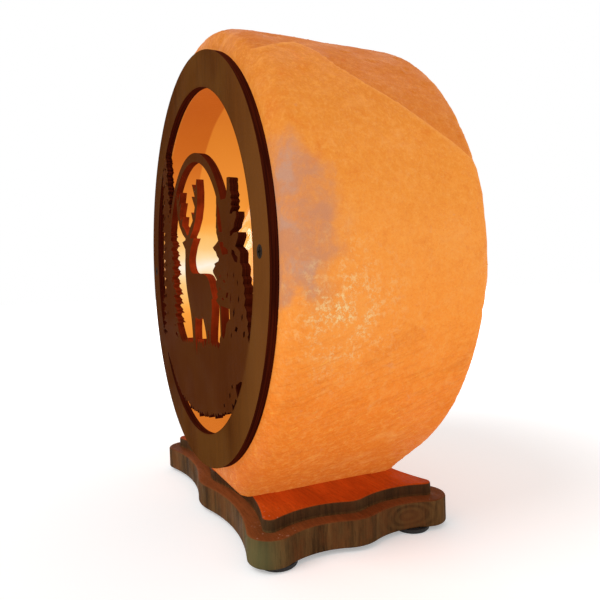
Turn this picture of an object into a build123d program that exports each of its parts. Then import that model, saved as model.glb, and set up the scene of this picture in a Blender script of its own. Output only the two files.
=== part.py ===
from build123d import *

import os
from math import ceil, cos, hypot, pi, radians, sin, sqrt

# Salt crystal lamp: a drum of rock salt on a wavy stepped board, with a niche behind a
# fretwork picture and a small screw-in bulb that can be drawn out from below.
#
# Frame, in millimetres: the origin is on the table, under the middle of the whole footprint.
# +Z is up, the picture faces -Y, and +X is to the right as one looks at the picture.
# X = 0 is the axis of the salt drum and of the bulb.

# ------------------------------------------------------------------ driving dimensions

# Board
board_width = 138.0
board_depth = 84.5
board_setback = 1.0           # from the picture's face back to the board's front edge
board_shift = -6.0            # the board's middle is a little left of the salt's axis
lower_tier_height = 10.4
upper_tier_height = 4.8
ledge_width = 5.8
corner_lobe_radius = 8.8
long_edge_dip = 4.5           # depth of the hollows in the front and rear edges
short_edge_dip = 3.5          # depth of the hollows in the left and right edges
hollow_place = 0.48           # where a hollow lies between a corner lobe and mid-edge
board_edge_round = 0.8
cord_hole_radius = 3.3
holder_hole_radius = 22.0

# Feet
foot_radius = 7.0
foot_thickness = 1.6
foot_side_inset = 7.8         # from the board's left or right reach in to the foot's middle
foot_front_inset = 10.7
foot_rear_inset = 15.8

# Salt drum
drum_front_radius = 94.2
drum_rear_radius = 95.6
drum_depth = 74.0
front_round = 7.0
rear_round = 5.6
foot_flat_cut = 3.5           # how far the flat under the drum cuts into the round
foot_flare_angle = 36.0       # from straight down, where the flank leaves the round
foot_trim = 1.0               # the drum is drawn this much deeper and cut off flat
rim_steps = 3                 # slices that follow each rounded rim
niche_radius = 72.6
niche_mouth_depth = 17.0      # the niche's mouth is straight, and then it narrows
niche_floor_radius = 58.0
niche_depth = 56.0
niche_floor_round = 14.0
bulb_bore_radius = 20.0
bulb_setback = 33.0           # from the picture's face back to the bulb's axis

# Fretwork panel
panel_radius = 85.0
panel_opening_radius = 71.6
panel_thickness = 3.1
moon_radius = 46.4
moon_band = 3.6
moon_end = 4.0                # height over the panel's centre where its band ends in the firs
stag_height = 71.5            # hoof line to antler tips
stag_shift = 0.0
right_fir_axis = 50.0
right_fir_height = 61.8       # ground line to the taller crown
left_fir_axis = -47.0
left_fir_height = 95.0
left_fir_tiers = 21
bough_notch = 0.52            # how far in the notches between boughs go
bough_unevenness = 0.17
ground_drop = 34.0            # from the panel's centre down to the ground line
ground_roll = 1.2
grass_height = 2.4
grass_slit = 5.5              # the deepest slit between the blades at the stag's feet
slit_middle = 9.0
slit_reach = 18.0

# Panel screws and their plugs
panel_screw_radius = 1.25
panel_screw_head_radius = 2.2
panel_screw_length = 16.0
panel_screw_offset = -1.1     # from the middle of the ring's band, outwards
panel_plug_radius = 2.5
panel_slot_width = 0.6
panel_slot_depth = 0.45
plug_spare_length = 1.5       # plug beyond the screw's tip

# Base screws and their plugs
base_screw_radius = 1.9
base_screw_head_radius = 3.7
base_screw_head_height = 2.4
base_screw_length = 26.0
base_screw_sink = 4.0
base_screw_head_room = 0.5
base_slot_width = 0.9
base_slot_depth = 0.8
base_screw_spread = 26.0      # left and right of the salt's axis
base_screw_front = 14.0       # behind the salt's front face
base_screw_rear = 58.0
base_plug_radius = 3.0

# Bulb, from the tip of its contact up
bulb_length = 97.0
bulb_light_height = 60.0
bulb_widest_radius = 17.5
bulb_widest_height = 54.0
bulb_neck_radius = 6.1
bulb_glass = 0.8
cap_thread_radius = 6.95
cap_wall = 0.4
cap_bottom = 5.5
cap_thread_top = 21.0
cap_rim_radius = 8.6
cap_rim_top = 25.5
insulator_radius = 4.5
contact_radius = 2.4
contact_height = 1.2
stem_radius = 2.2
stem_top = 42.0
filament_half_span = 6.5
filament_sag = 4.0            # of the zigzag, down to the support wires
wire_radius = 0.3
wire_straight = 2.0
filament_radius = 0.22
thread_pitch = 2.822          # of the E14 thread
thread_turns = 4.5            # to free the bulb

# Lamp holder
holder_radius = 13.5
holder_rim = 23.0             # above the bulb's contact tip
holder_shell_drop = 14.0      # from the contact tip down to the shell's lower end
holder_cap_drop = 26.0        # from the contact tip down to the cap's underside
holder_inner_radius = 11.0
holder_cap_floor = 2.5
holder_cap_round = 3.0
holder_spigot = 4.5
spigot_wall = 1.5
liner_wall = 0.4
liner_bottom = 5.0
liner_top = 19.0
rim_clearance = 0.6
block_top = 4.0
block_pocket_radius = 5.6
block_pocket_floor = -3.4
terminal_spread = 7.2
terminal_screw_radius = 1.5
terminal_head_radius = 2.3
terminal_head_height = 1.4
terminal_screw_length = 6.0
terminal_slot_width = 0.7
terminal_slot_depth = 0.5
terminal_recess = 0.1         # the heads lie this far inside the block
terminal_head_room = 0.2
terminal_tip_gap = 0.3
spring_strip = 0.4
spring_strip_width = 4.0
nipple_radius = 4.95
nipple_bore_radius = 3.5
nipple_drop = 33.0            # from the contact tip down to the nipple's lower end
nipple_flange_radius = 6.4
nipple_flange = 1.5
nut_across_flats = 14.0
nut_height = 3.5
clip_strip = 0.8
clip_width = 14.0
clip_wing_rise = 12.0
clip_tip_rise = 20.0
clip_tip_inset = 2.6

# Cord grommet
grommet_bore_radius = 2.7
grommet_neck_radius = 4.0
grommet_neck_length = 8.0
grommet_flange_radius = 4.8
grommet_flange = 1.2
grommet_sink = 1.5            # from the board's rear edge in to the flange's seat

# Clearances
fit_gap = 0.05                # between a fixed piece and its seat
running_gap = 0.1             # between the bulb's cap and what it turns in
contact_gap = 0.3             # between pieces of different moving groups that nearly touch
bore_gap = 0.45               # between the spring clip's corners and the salt's bore

# ------------------------------------------------------------------ places worked out

board_bottom = foot_thickness
ledge_height = board_bottom + lower_tier_height
board_top = ledge_height + upper_tier_height
overall_depth = board_setback + board_depth
panel_front = -overall_depth / 2
board_front = panel_front + board_setback
board_rear = board_front + board_depth
board_middle = (board_front + board_rear) / 2
salt_front = panel_front + panel_thickness
salt_rear = salt_front + drum_depth
drum_axis_height = board_top + (drum_front_radius + drum_rear_radius) / 2 - foot_flat_cut
panel_centre_height = drum_axis_height
bulb_axis_y = panel_front + bulb_setback
bulb_base = panel_centre_height - bulb_light_height
cord_height = board_bottom + lower_tier_height / 2
panel_screw_circle = (panel_radius + panel_opening_radius) / 2 + panel_screw_offset


def upright(radius, low, high, x=0.0, y=0.0):
    """A vertical cylinder between two heights."""
    return Pos(x, y, low) * extrude(Circle(radius), high - low)


def tube(outer, inner, low, high, x=0.0, y=0.0):
    """A vertical tube between two heights."""
    return upright(outer, low, high, x, y) - upright(inner, low - 1, high + 1, x, y)


def along_y(radius, front, rear, x, z):
    """A cylinder along Y between two depths."""
    start = Plane((x, front, z), x_dir=(1, 0, 0), z_dir=(0, 1, 0))
    return extrude(start * Circle(radius), rear - front)


def turned(profile, base=0.0):
    """A solid of revolution about the bulb's axis, from (radius, height) corner points."""
    points = [(radius, 0, height) for radius, height in profile]
    face = make_face(Polyline(*points, close=True))
    return Pos(0, bulb_axis_y, base) * revolve(face, Axis.Z)


def rod(start, end, radius):
    """A round rod between two points, with rounded ends."""
    direction = Vector(*end) - Vector(*start)
    bar = extrude(Plane(start, z_dir=direction) * Circle(radius), direction.length)
    return bar + Pos(*end) * Sphere(radius)


# ------------------------------------------------------------------ board and feet


def edge_waves(reach, half_length, dip):
    """The lobe, hollow and bulge circles of one edge, in (along, outward) coordinates.

    All of them touch, so the edge runs smoothly, and the bulge reaches as far as the lobes."""
    spacing = half_length - corner_lobe_radius
    to_hollow = hollow_place * spacing
    to_bulge = spacing - to_hollow
    hollow_radius = (to_hollow**2 + dip**2) / (2 * dip) - corner_lobe_radius
    bulge_radius = (to_bulge**2 + dip**2) / (2 * dip) - hollow_radius
    lobe = (spacing, reach - corner_lobe_radius)
    hollow = (to_bulge, reach - dip + hollow_radius)
    bulge = (0.0, reach - bulge_radius)
    return lobe, hollow, hollow_radius, bulge, bulge_radius


def towards(start, end, distance):
    """The point at a distance from start on the way to end."""
    length = hypot(end[0] - start[0], end[1] - start[1])
    share = distance / length
    return (start[0] + (end[0] - start[0]) * share, start[1] + (end[1] - start[1]) * share)


def board_outline(inset):
    """The board's wavy outline, moved in by an inset, as a face about the origin."""
    half_width = board_width / 2
    half_depth = board_depth / 2
    runs = [
        (half_width, half_depth, short_edge_dip),
        (half_depth, half_width, long_edge_dip),
    ] * 2
    edges = []
    lobe_ends = []
    for quarter, (reach, half_length, dip) in enumerate(runs):
        lobe, hollow, hollow_radius, bulge, bulge_radius = edge_waves(reach, half_length, dip)
        lobe_end = towards(lobe, hollow, corner_lobe_radius - inset)
        bulge_end = towards(bulge, hollow, bulge_radius - inset)
        hollow_bottom = (hollow[0], hollow[1] - hollow_radius - inset)
        turn = radians(90 * quarter)

        def place(point, side=1):
            along, outward = side * point[0], point[1]
            x = outward * cos(turn) - along * sin(turn)
            y = outward * sin(turn) + along * cos(turn)
            return (x, y)

        edges.append(ThreePointArc(place(lobe_end, -1), place(hollow_bottom, -1), place(bulge_end, -1)))
        edges.append(ThreePointArc(place(bulge_end, -1), place((0, reach - inset)), place(bulge_end)))
        edges.append(ThreePointArc(place(bulge_end), place(hollow_bottom), place(lobe_end)))
        lobe_ends.append((place(lobe_end, -1), place(lobe_end)))
    for quarter in range(4):
        start = lobe_ends[quarter][1]
        end = lobe_ends[(quarter + 1) % 4][0]
        across = 1 if quarter in (0, 3) else -1
        upwards = 1 if quarter in (0, 1) else -1
        reach = (corner_lobe_radius - inset) / sqrt(2)
        corner_x = across * (half_width - corner_lobe_radius + reach)
        corner_y = upwards * (half_depth - corner_lobe_radius + reach)
        edges.append(ThreePointArc(start, (corner_x, corner_y), end))
    return make_face(edges)


def base_screw_places():
    return [
        (side * base_screw_spread, salt_front + depth)
        for depth in (base_screw_front, base_screw_rear)
        for side in (-1, 1)
    ]


def make_board():
    lower = extrude(board_outline(0), lower_tier_height)
    lower = fillet(lower.faces().sort_by(Axis.Z)[-1].edges(), board_edge_round)
    lower = fillet(lower.faces().sort_by(Axis.Z)[0].edges(), board_edge_round)
    upper = extrude(board_outline(ledge_width), lower_tier_height + upper_tier_height)
    upper = fillet(upper.faces().sort_by(Axis.Z)[-1].edges(), board_edge_round)
    board = Pos(board_shift, board_middle, board_bottom) * (lower + upper)
    board -= upright(holder_hole_radius, board_bottom - 1, board_top + 1, y=bulb_axis_y)
    board -= along_y(cord_hole_radius, bulb_axis_y, board_rear, 0, cord_height)
    seat = board_rear - grommet_sink
    neck_end = seat - grommet_neck_length
    board -= along_y(grommet_neck_radius + fit_gap, neck_end, board_rear, 0, cord_height)
    board -= along_y(grommet_flange_radius + fit_gap, seat, board_rear + 1, 0, cord_height)
    for x, y in base_screw_places():
        board -= upright(base_screw_radius + fit_gap, board_bottom, board_top + 1, x, y)
        head_room = base_screw_head_radius + base_screw_head_room
        board -= upright(head_room, board_bottom - 1, board_bottom + base_screw_sink, x, y)
    return board


def foot_places():
    """Each foot is stuck under a corner of the board, near its left or right edge."""
    out_x = board_width / 2 - foot_side_inset
    front = board_front + foot_front_inset
    rear = board_rear - foot_rear_inset
    return {
        "foot_front_left": (board_shift - out_x, front),
        "foot_front_right": (board_shift + out_x, front),
        "foot_rear_left": (board_shift - out_x, rear),
        "foot_rear_right": (board_shift + out_x, rear),
    }


def make_foot(x, y):
    pad = upright(foot_radius, 0, foot_thickness, x, y)
    return chamfer(pad.faces().sort_by(Axis.Z)[0].edges(), foot_thickness / 4)


def make_base_screws():
    screws = []
    for x, y in base_screw_places():
        seat = board_bottom + base_screw_sink
        tip = seat + base_screw_length
        screw = upright(base_screw_radius, seat, tip, x, y)
        head = upright(base_screw_head_radius, seat - base_screw_head_height, seat, x, y)
        head = fillet(head.faces().sort_by(Axis.Z)[0].edges(), base_screw_head_height / 3)
        slot = Box(base_screw_head_radius * 1.2, base_slot_width, 2 * base_slot_depth)
        head -= Pos(x, y, seat - base_screw_head_height) * slot
        head -= Pos(x, y, seat - base_screw_head_height) * Rot(0, 0, 90) * slot
        screw = chamfer(screw.faces().sort_by(Axis.Z)[-1].edges(), base_screw_radius * 0.6)
        screws.append(screw + head)
    return Compound(children=screws)


def base_plug_top():
    return board_bottom + base_screw_sink + base_screw_length + plug_spare_length


def make_base_plugs():
    plugs = []
    for x, y in base_screw_places():
        plug = upright(base_plug_radius, board_top, base_plug_top(), x, y)
        tip = base_plug_top() - plug_spare_length
        plug -= upright(base_screw_radius, board_top - 1, tip, x, y)
        plugs.append(plug)
    return Compound(children=plugs)


def make_grommet():
    seat = board_rear - grommet_sink
    grommet = along_y(grommet_neck_radius, seat - grommet_neck_length, seat, 0, cord_height)
    flange = along_y(grommet_flange_radius, seat, seat + grommet_flange, 0, cord_height)
    flange = fillet(flange.faces().sort_by(Axis.Y)[-1].edges(), grommet_flange / 2.5)
    grommet += flange
    return grommet - along_y(grommet_bore_radius, board_middle, board_rear + 1, 0, cord_height)


# ------------------------------------------------------------------ salt drum


def drum_section(depth, inset):
    """One upright slice of the drum: a round top, two straight flanks and a flat foot."""
    share = depth / drum_depth
    radius = drum_front_radius + (drum_rear_radius - drum_front_radius) * share - inset
    drop = drum_axis_height - board_top - inset
    if inset == 0:
        drop += foot_trim
    leave = radians(foot_flare_angle)
    corner = (radius - drop * cos(leave)) / sin(leave)
    level = salt_front + depth

    def on_round(angle):
        return (radius * cos(angle), level, drum_axis_height + radius * sin(angle))

    start = leave - pi / 2
    sweep = 2 * pi - 2 * leave
    arcs = 4
    edges = []
    for index in range(arcs):
        first = start + sweep * index / arcs
        middle = start + sweep * (index + 0.5) / arcs
        last = start + sweep * (index + 1) / arcs
        edges.append(ThreePointArc(on_round(first), on_round(middle), on_round(last)))
    right = (corner, level, drum_axis_height - drop)
    left = (-corner, level, drum_axis_height - drop)
    edges.append(Line(on_round(start + sweep), left))
    edges.append(Line(left, right))
    edges.append(Line(right, on_round(start)))
    return make_face(edges)


def make_drum():
    """The drum's body, lofted through slices that follow its rounded front and rear rims."""
    slices = []
    for step in range(rim_steps + 1):
        swing = pi / 2 * step / rim_steps
        slices.append((front_round * (1 - cos(swing)), front_round * (1 - sin(swing))))
    for step in range(rim_steps, -1, -1):
        swing = pi / 2 * step / rim_steps
        slices.append((drum_depth - rear_round * (1 - cos(swing)), rear_round * (1 - sin(swing))))
    slices = [(depth, 0 if inset < 1e-6 else inset) for depth, inset in slices]
    return loft([drum_section(depth, inset) for depth, inset in slices], ruled=True)


def make_niche():
    """The niche that is carved into the drum's front: a straight mouth, and a narrowing floor."""
    profile = [
        (0, -1),
        (niche_radius, -1),
        (niche_radius, niche_mouth_depth),
        (niche_floor_radius, niche_depth),
        (0, niche_depth),
    ]
    side = Polyline(*[(radius, salt_front + depth, 0) for radius, depth in profile], close=True)
    niche = Pos(0, 0, panel_centre_height) * revolve(make_face(side), Axis.Y)
    return fillet(niche.faces().sort_by(Axis.Y)[-1].edges(), niche_floor_round)


def panel_screw_places():
    return [-panel_screw_circle, panel_screw_circle]


def make_salt():
    salt = make_drum()
    span = 4 * drum_rear_radius
    salt -= Pos(0, 0, board_top - span / 2) * Box(span, span, span)
    salt -= make_niche()
    salt -= upright(bulb_bore_radius, board_top - 1, panel_centre_height, y=bulb_axis_y)
    plug_end = salt_front + panel_plug_length()
    for x in panel_screw_places():
        salt -= along_y(panel_plug_radius, salt_front - 1, plug_end, x, panel_centre_height)
    for x, y in base_screw_places():
        salt -= upright(base_plug_radius, board_top - 1, base_plug_top(), x, y)
    return salt


# ------------------------------------------------------------------ fretwork panel


def wobble(index, seed):
    """A steady uneven number between -1 and 1, for hand-drawn edges."""
    return sin(index * 2.4 + seed) * 0.6 + sin(index * 5.1 + seed * 3) * 0.4


def polygon(points):
    return make_face(Polyline(*points, close=True))


def fir(axis, height, top_width, foot_width, tiers, seed):
    """A fir with ragged drooping boughs, standing in the ground."""
    foot = -ground_drop - 2
    top = height - ground_drop
    right = []
    left = []
    for tier in range(tiers):
        share = (tier + 0.7) / tiers
        width = top_width + (foot_width - top_width) * share**0.8
        z = top - (top - foot) * share
        rise = (top - foot) / tiers
        for side, points in ((1, right), (-1, left)):
            reach = width * (1 + bough_unevenness * wobble(tier, seed + side))
            tip = z - 0.25 * rise + 0.5 * wobble(tier * 2, seed + side)
            points.append((axis + side * reach * bough_notch, z + 0.50 * rise))
            points.append((axis + side * reach * 0.86, z + 0.12 * rise))
            points.append((axis + side * reach * 0.76, z + 0.02 * rise))
            points.append((axis + side * reach, tip))
            points.append((axis + side * reach * 0.74, z - 0.26 * rise))
    ridge = [(axis - top_width * 0.5, top), (axis, top + 1.6), (axis + top_width * 0.5, top)]
    outline = ridge + right + [(axis + foot_width * 0.6, foot), (axis - foot_width * 0.6, foot)]
    return polygon(outline + left[::-1])


def bough_gaps(axis, height, top_width, foot_width, rows, seed):
    """Small leaf-shaped holes between the boughs of a fir."""
    top = height - ground_drop
    holes = []
    for row in range(rows):
        share = (row + 1.4) / (rows + 1)
        width = top_width + (foot_width - top_width) * share**0.8
        z = top - height * share * 0.92
        for side in (-1, 1):
            x = axis + side * width * (0.36 + 0.12 * wobble(row, seed + side))
            lean = side * (32 + 14 * wobble(row + 3, seed))
            length = 3.2 + 0.9 * wobble(row + 5, seed + side)
            leaf = polygon([(-length / 2, 0), (0, 0.75), (length / 2, 0), (0, -0.75)])
            holes.append(Pos(x, z + 0.8 * wobble(row + 7, seed - side)) * Rot(0, 0, -lean) * leaf)
    return holes


def right_firs():
    """Two firs beside the stag: a tall one, and a slender one inside the moon."""
    drawn_height = 61.8
    drawn_axis = 50.0
    ground_line = -34.0
    size = right_fir_height / drawn_height

    def at(points):
        return [
            (right_fir_axis + (x - drawn_axis) * size, -ground_drop + (z - ground_line) * size)
            for x, z in points
        ]

    slender_side = [
        (36.0, 22.9), (35.7, 20.6), (35.9, 20.1), (35.2, 17.4), (34.8, 16.2), (35.3, 15.8),
        (34.7, 13.4), (34.3, 11.9), (34.9, 11.4), (34.6, 10.0), (35.4, 9.0), (36.6, 6.9),
        (33.5, 5.9), (29.6, 4.9), (31.4, 3.7), (33.2, 3.0), (34.4, 1.4), (36.6, 0.3),
        (36.0, -0.6), (30.8, -1.3), (31.6, -2.2), (28.7, -3.6), (28.8, -4.6), (31.0, -6.0),
        (33.1, -7.4), (31.8, -8.6), (32.2, -10.2), (33.9, -11.8), (32.6, -12.8), (33.9, -13.9),
        (31.3, -15.3), (33.4, -16.4), (35.4, -17.2), (35.3, -28.2), (34.0, -29.6), (33.6, -36),
    ]
    tall_side = [
        (66.5, -36), (65.8, -29.4), (64.2, -27.0), (65.3, -25.8), (64.2, -23.4), (65.2, -22.0),
        (63.6, -20.4), (64.1, -18.6), (62.0, -16.6), (63.5, -14.4), (62.2, -12.8), (63.2, -10.8),
        (61.5, -9.4), (62.3, -8.0), (60.9, -6.8), (61.6, -4.7), (61.2, -3.6), (59.4, -2.5),
        (59.6, -0.9), (59.9, 0.8), (59.0, 1.7), (55.2, 3.4), (57.9, 5.7), (58.7, 6.8),
        (57.9, 7.9), (54.2, 8.1), (51.6, 7.2), (50.1, 7.5), (50.4, 8.9), (54.2, 9.8),
        (54.9, 11.1), (57.3, 13.1), (57.2, 14.9), (54.5, 15.2), (52.9, 14.7), (50.8, 14.9),
        (51.2, 15.9), (53.2, 17.0), (52.0, 18.0), (53.4, 19.1), (52.0, 20.3), (53.1, 21.2),
        (51.8, 22.8), (52.2, 24.4), (51.7, 25.8), (52.2, 27.0), (50.8, 27.6), (48.8, 27.8),
        (48.5, 24.6), (48.1, 22.4), (46.8, 20.8), (43.8, 21.0), (40.6, 21.2), (37.6, 23.6),
    ]
    holes = [
        [
            (38.6, 21.3), (37.3, 21.3), (37.0, 19.6), (36.5, 16.6), (36.3, 13.0), (37.4, 11.6),
            (37.8, 10.1), (42.4, 9.3), (43.2, 12.0), (41.4, 17.0),
        ],
        [
            (38.0, 6.4), (43.0, 5.8), (42.8, 4.5), (47.3, 2.7), (47.1, 1.3), (40.8, 1.4),
            (39.4, 3.5), (38.2, 5.0),
        ],
        [(51.4, 2.6), (54.2, 1.9), (54.9, 0.7), (57.4, -0.5), (56.6, -2.3), (53.9, -1.7), (51.1, 0.9)],
        [
            (37.0, -17.2), (46.6, -18.1), (46.9, -21.6), (42.7, -23.5), (41.0, -27.0),
            (39.2, -29.4), (36.9, -28.3),
        ],
    ]
    slits = [
        (37.3, -6.3, 2.2, 1.1, 20), (41.8, -8.2, 3.2, 1.1, -15), (46.1, -6.1, 2.4, 0.9, 80),
        (52.7, -6.4, 2.4, 1.0, 85), (36.6, -10.8, 2.2, 1.0, -20), (44.6, -13.2, 3.8, 1.9, 30),
        (39.6, -14.6, 3.0, 1.1, -10), (48.4, -14.4, 4.2, 1.1, 85), (56.7, -14.6, 3.0, 1.3, 75),
        (56.2, -9.0, 2.6, 1.0, 100), (51.4, -19.3, 4.2, 1.6, 70), (59.6, -20.6, 3.0, 1.3, 60),
        (53.2, -25.0, 3.6, 2.2, 20), (60.9, -26.2, 3.2, 1.8, 50), (47.8, -27.4, 2.6, 1.0, 75),
    ]
    firs = polygon(at(slender_side + tall_side))
    for hole in holes:
        firs -= polygon(at(hole))
    for x, z, long, wide, lean in slits:
        leaf = polygon([(-long / 2, 0), (0, wide / 2), (long / 2, 0), (0, -wide / 2)])
        firs -= Pos(*at([(x, z)])[0]) * Rot(0, 0, lean) * scale(leaf, size)
    return firs


def stag():
    """A standing stag that looks at the viewer, drawn about the panel's centre."""
    drawn_height = 71.5
    size = stag_height / drawn_height
    hoof_line = -37.0

    def at(points):
        return [
            (stag_shift + x * size, -ground_drop - 3 + (z - hoof_line) * size) for x, z in points
        ]

    chest = at([(-4.6, -37), (-5.0, -28), (-7.2, -20), (-11, -13), (-13.2, -6), (-13.4, 0), (-12.4, 4.5)])
    left_ear = at([(-12.4, 4.5), (-12.3, 7.4), (-17.0, 10.9), (-11.6, 11.4), (-9.9, 13.2)])
    right_ear = at([(-4.3, 13.2), (-2.6, 11.4), (2.8, 10.9), (-2.4, 7.4), (-4.8, 4.5)])
    back = at([(-4.8, 4.5), (-6.0, 0.5), (-3.6, -2.8), (3, -4.1), (13, -4.5), (20, -5.8), (24.2, -9.6)])
    tail = at([(24.2, -9.6), (27.2, -14.6), (25.4, -14.8)])
    haunch = at([(25.4, -14.8), (24.9, -21), (22.9, -27.5), (23.8, -37)])
    hocks = at([(23.8, -37), (20.6, -37), (20.0, -27.4), (19.0, -27.4), (18.9, -37), (16.4, -37)])
    thigh = at([(16.4, -37), (16.7, -31.5), (14.6, -26), (12.2, -22.4)])
    belly = at([(12.2, -22.4), (6.0, -23.3), (1.0, -22.6)])
    foreleg = at([(1.0, -22.6), (-0.3, -28), (0.2, -37)])
    body = make_face(
        [
            Spline(*chest),
            Polyline(*left_ear),
            Line(left_ear[-1], right_ear[0]),
            Polyline(*right_ear),
            Spline(*back),
            Polyline(*tail),
            Spline(*haunch),
            Polyline(*hocks),
            Spline(*thigh),
            Spline(*belly),
            Spline(*foreleg),
            Line(foreleg[-1], chest[0]),
        ]
    )
    antler = [
        (-3.6, 11.8), (1.7, 14.4), (6.9, 18.6), (9.9, 23.6), (10.9, 29.0), (10.2, 34.5),
        (8.1, 30.4), (3.0, 33.6), (6.9, 27.4), (1.9, 28.7), (6.2, 23.6), (4.3, 20.8),
        (0.3, 22.2), (2.2, 18.4), (-2.4, 16.2), (-6.6, 12.8),
    ]
    middle = -7.1
    mirrored = [(2 * middle - x, z) for x, z in antler]
    return body + polygon(at(antler)) + polygon(at(mirrored))


# Gaps between the ground and the ring, as (angle, depth) points. The angles are in degrees from
# straight down, positive to the right.
ground_gaps = [
    [
        (-53, 0.8), (-46, 3.2), (-36, 3.6), (-26, 4.6), (-16, 6.8), (-6, 7.4), (4, 8.4), (12, 8.2),
        (20, 7.2), (28, 5.2), (34, 3.2), (39, 0.6),
    ],
    [(40.2, 0.5), (41.3, 2.6), (42.6, 0.6)],
    [(43.6, 0.5), (44.6, 2.4), (45.9, 0.6)],
    [(46.6, 1.0), (48.0, 4.8), (50.5, 3.0), (53.5, 0.6)],
]
# Small holes near the ground's right end: angle, distance in from the ring and length
ground_holes = [(41.5, 5.6, 2.6), (45.5, 6.2, 2.0), (34.0, 6.0, 1.8)]


def gap_at(angle):
    """The depth of the gap at an angle, or None where the ground meets the ring."""
    for points in ground_gaps:
        for (first, shallow), (last, deep) in zip(points, points[1:]):
            if first <= angle <= last:
                return shallow + (deep - shallow) * (angle - first) / (last - first)
    return None


def ground():
    """The ground: grass tufts along its top, and a ragged lower edge above the ring."""
    step = 1.3
    count = int(ceil(116 / step))
    lower = []
    for index in range(count + 1):
        angle = -58 + 116 * index / count
        depth = gap_at(angle)
        if depth is None:
            gap = -1.5
        else:
            gap = max(0.5, depth * (0.88 + 0.20 * (index % 2) + 0.14 * wobble(index, 1.0)))
        radius = panel_opening_radius - gap
        lower.append((radius * sin(radians(angle)), -radius * cos(radians(angle))))
    top = []
    half = panel_opening_radius * 0.92
    blades = int(half * 2 / 1.7)
    for blade in range(blades + 1):
        x = half - 2 * half * blade / blades
        roll = ground_roll * (cos(x / 16.0 - 1.0) - 0.4)
        if blade % 2:
            tall = grass_height * (0.65 + 0.35 * wobble(blade, 2.0))
        else:
            tall = -grass_slit * max(0.0, wobble(blade, 5.0)) if abs(x - slit_middle) < slit_reach else 0
        top.append((x, -ground_drop + roll + tall))
    return polygon(lower + top)


def ground_leaves():
    leaves = []
    for angle, inset, length in ground_holes:
        radius = panel_opening_radius - inset
        leaf = polygon([(-length / 2, 0), (0, 0.8), (length / 2, 0.2), (0.2, -0.8)])
        place = Pos(radius * sin(radians(angle)), -radius * cos(radians(angle)))
        leaves.append(place * Rot(0, 0, angle + 25) * leaf)
    return leaves


def make_panel():
    band = Circle(panel_radius) - Circle(panel_opening_radius)
    moon = Circle(moon_radius) - Circle(moon_radius - moon_band)
    moon -= Pos(moon_radius, moon_end - moon_radius) * Rectangle(moon_radius * 2, moon_radius * 2)
    left_fir = (left_fir_axis, left_fir_height, 3.0, 18.5)
    scene = ground() + fir(*left_fir, left_fir_tiers, 1.9)
    for leaf in bough_gaps(*left_fir, 10, 2.7) + ground_leaves():
        scene -= leaf
    scene = scene + right_firs() + moon + stag()
    scene = scene & Circle(panel_opening_radius + 1)
    face = band + scene
    back = Plane(
        (0, salt_front, panel_centre_height),
        x_dir=(1, 0, 0),
        z_dir=(0, -1, 0),
    )
    panel = extrude(back * face, panel_thickness)
    for x in panel_screw_places():
        hole = panel_screw_radius + fit_gap
        panel -= along_y(hole, panel_front - 1, salt_front + 1, x, panel_centre_height)
        panel -= countersink(panel_screw_head_radius + fit_gap, x)
    return panel


def countersink(radius, x):
    depth = radius - panel_screw_radius
    start = Plane((x, panel_front, panel_centre_height), x_dir=(1, 0, 0), z_dir=(0, 1, 0))
    return start * Pos(0, 0, depth / 2) * Cone(radius, panel_screw_radius, depth)


def make_panel_screws():
    screws = []
    for x in panel_screw_places():
        tip = panel_front + panel_screw_length
        neck = panel_front + (panel_screw_head_radius - panel_screw_radius) / 2
        screw = countersink(panel_screw_head_radius, x)
        screw += along_y(panel_screw_radius, neck, tip, x, panel_centre_height)
        slot = Box(panel_screw_head_radius * 1.3, 2 * panel_slot_depth, panel_slot_width)
        screw -= Pos(x, panel_front, panel_centre_height) * slot
        screw -= Pos(x, panel_front, panel_centre_height) * Rot(0, 90, 0) * slot
        screws.append(screw)
    return Compound(children=screws)


def panel_plug_length():
    return panel_screw_length - panel_thickness + plug_spare_length


def make_panel_plugs():
    plugs = []
    for x in panel_screw_places():
        end = salt_front + panel_plug_length()
        plug = along_y(panel_plug_radius, salt_front, end, x, panel_centre_height)
        tip = panel_front + panel_screw_length
        plug -= along_y(panel_screw_radius, salt_front - 1, tip, x, panel_centre_height)
        plugs.append(plug)
    return Compound(children=plugs)


# ------------------------------------------------------------------ bulb


def make_bulb_cap():
    outer = cap_thread_radius
    inner = outer - cap_wall
    lip = insulator_radius + running_gap
    rim = cap_rim_radius
    return turned(
        [
            (lip, cap_bottom),
            (outer - 1.2, cap_bottom),
            (outer, cap_bottom + 1.2),
            (outer, cap_thread_top),
            (rim, cap_rim_top - 0.8),
            (rim, cap_rim_top),
            (rim - cap_wall, cap_rim_top),
            (rim - cap_wall, cap_rim_top - 0.6),
            (inner, cap_thread_top + 0.2),
            (inner, cap_bottom + 1.6),
            (inner - 1.2, cap_bottom + cap_wall),
            (lip, cap_bottom + cap_wall),
        ],
        bulb_base,
    )


def make_bulb_insulator():
    hole = contact_radius * 0.4
    return turned(
        [
            (hole, contact_height),
            (contact_radius + 0.4, contact_height),
            (insulator_radius, cap_bottom - 0.6),
            (insulator_radius, cap_bottom + 2.0),
            (hole, cap_bottom + 2.0),
        ],
        bulb_base,
    )


def make_bulb_contact():
    pin = contact_radius * 0.4
    dome = [(0, 0), (contact_radius * 0.6, 0.15), (contact_radius, contact_height * 0.7)]
    return turned(
        dome + [(contact_radius, contact_height), (pin, contact_height), (pin, cap_bottom), (0, cap_bottom)],
        bulb_base,
    )


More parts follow.
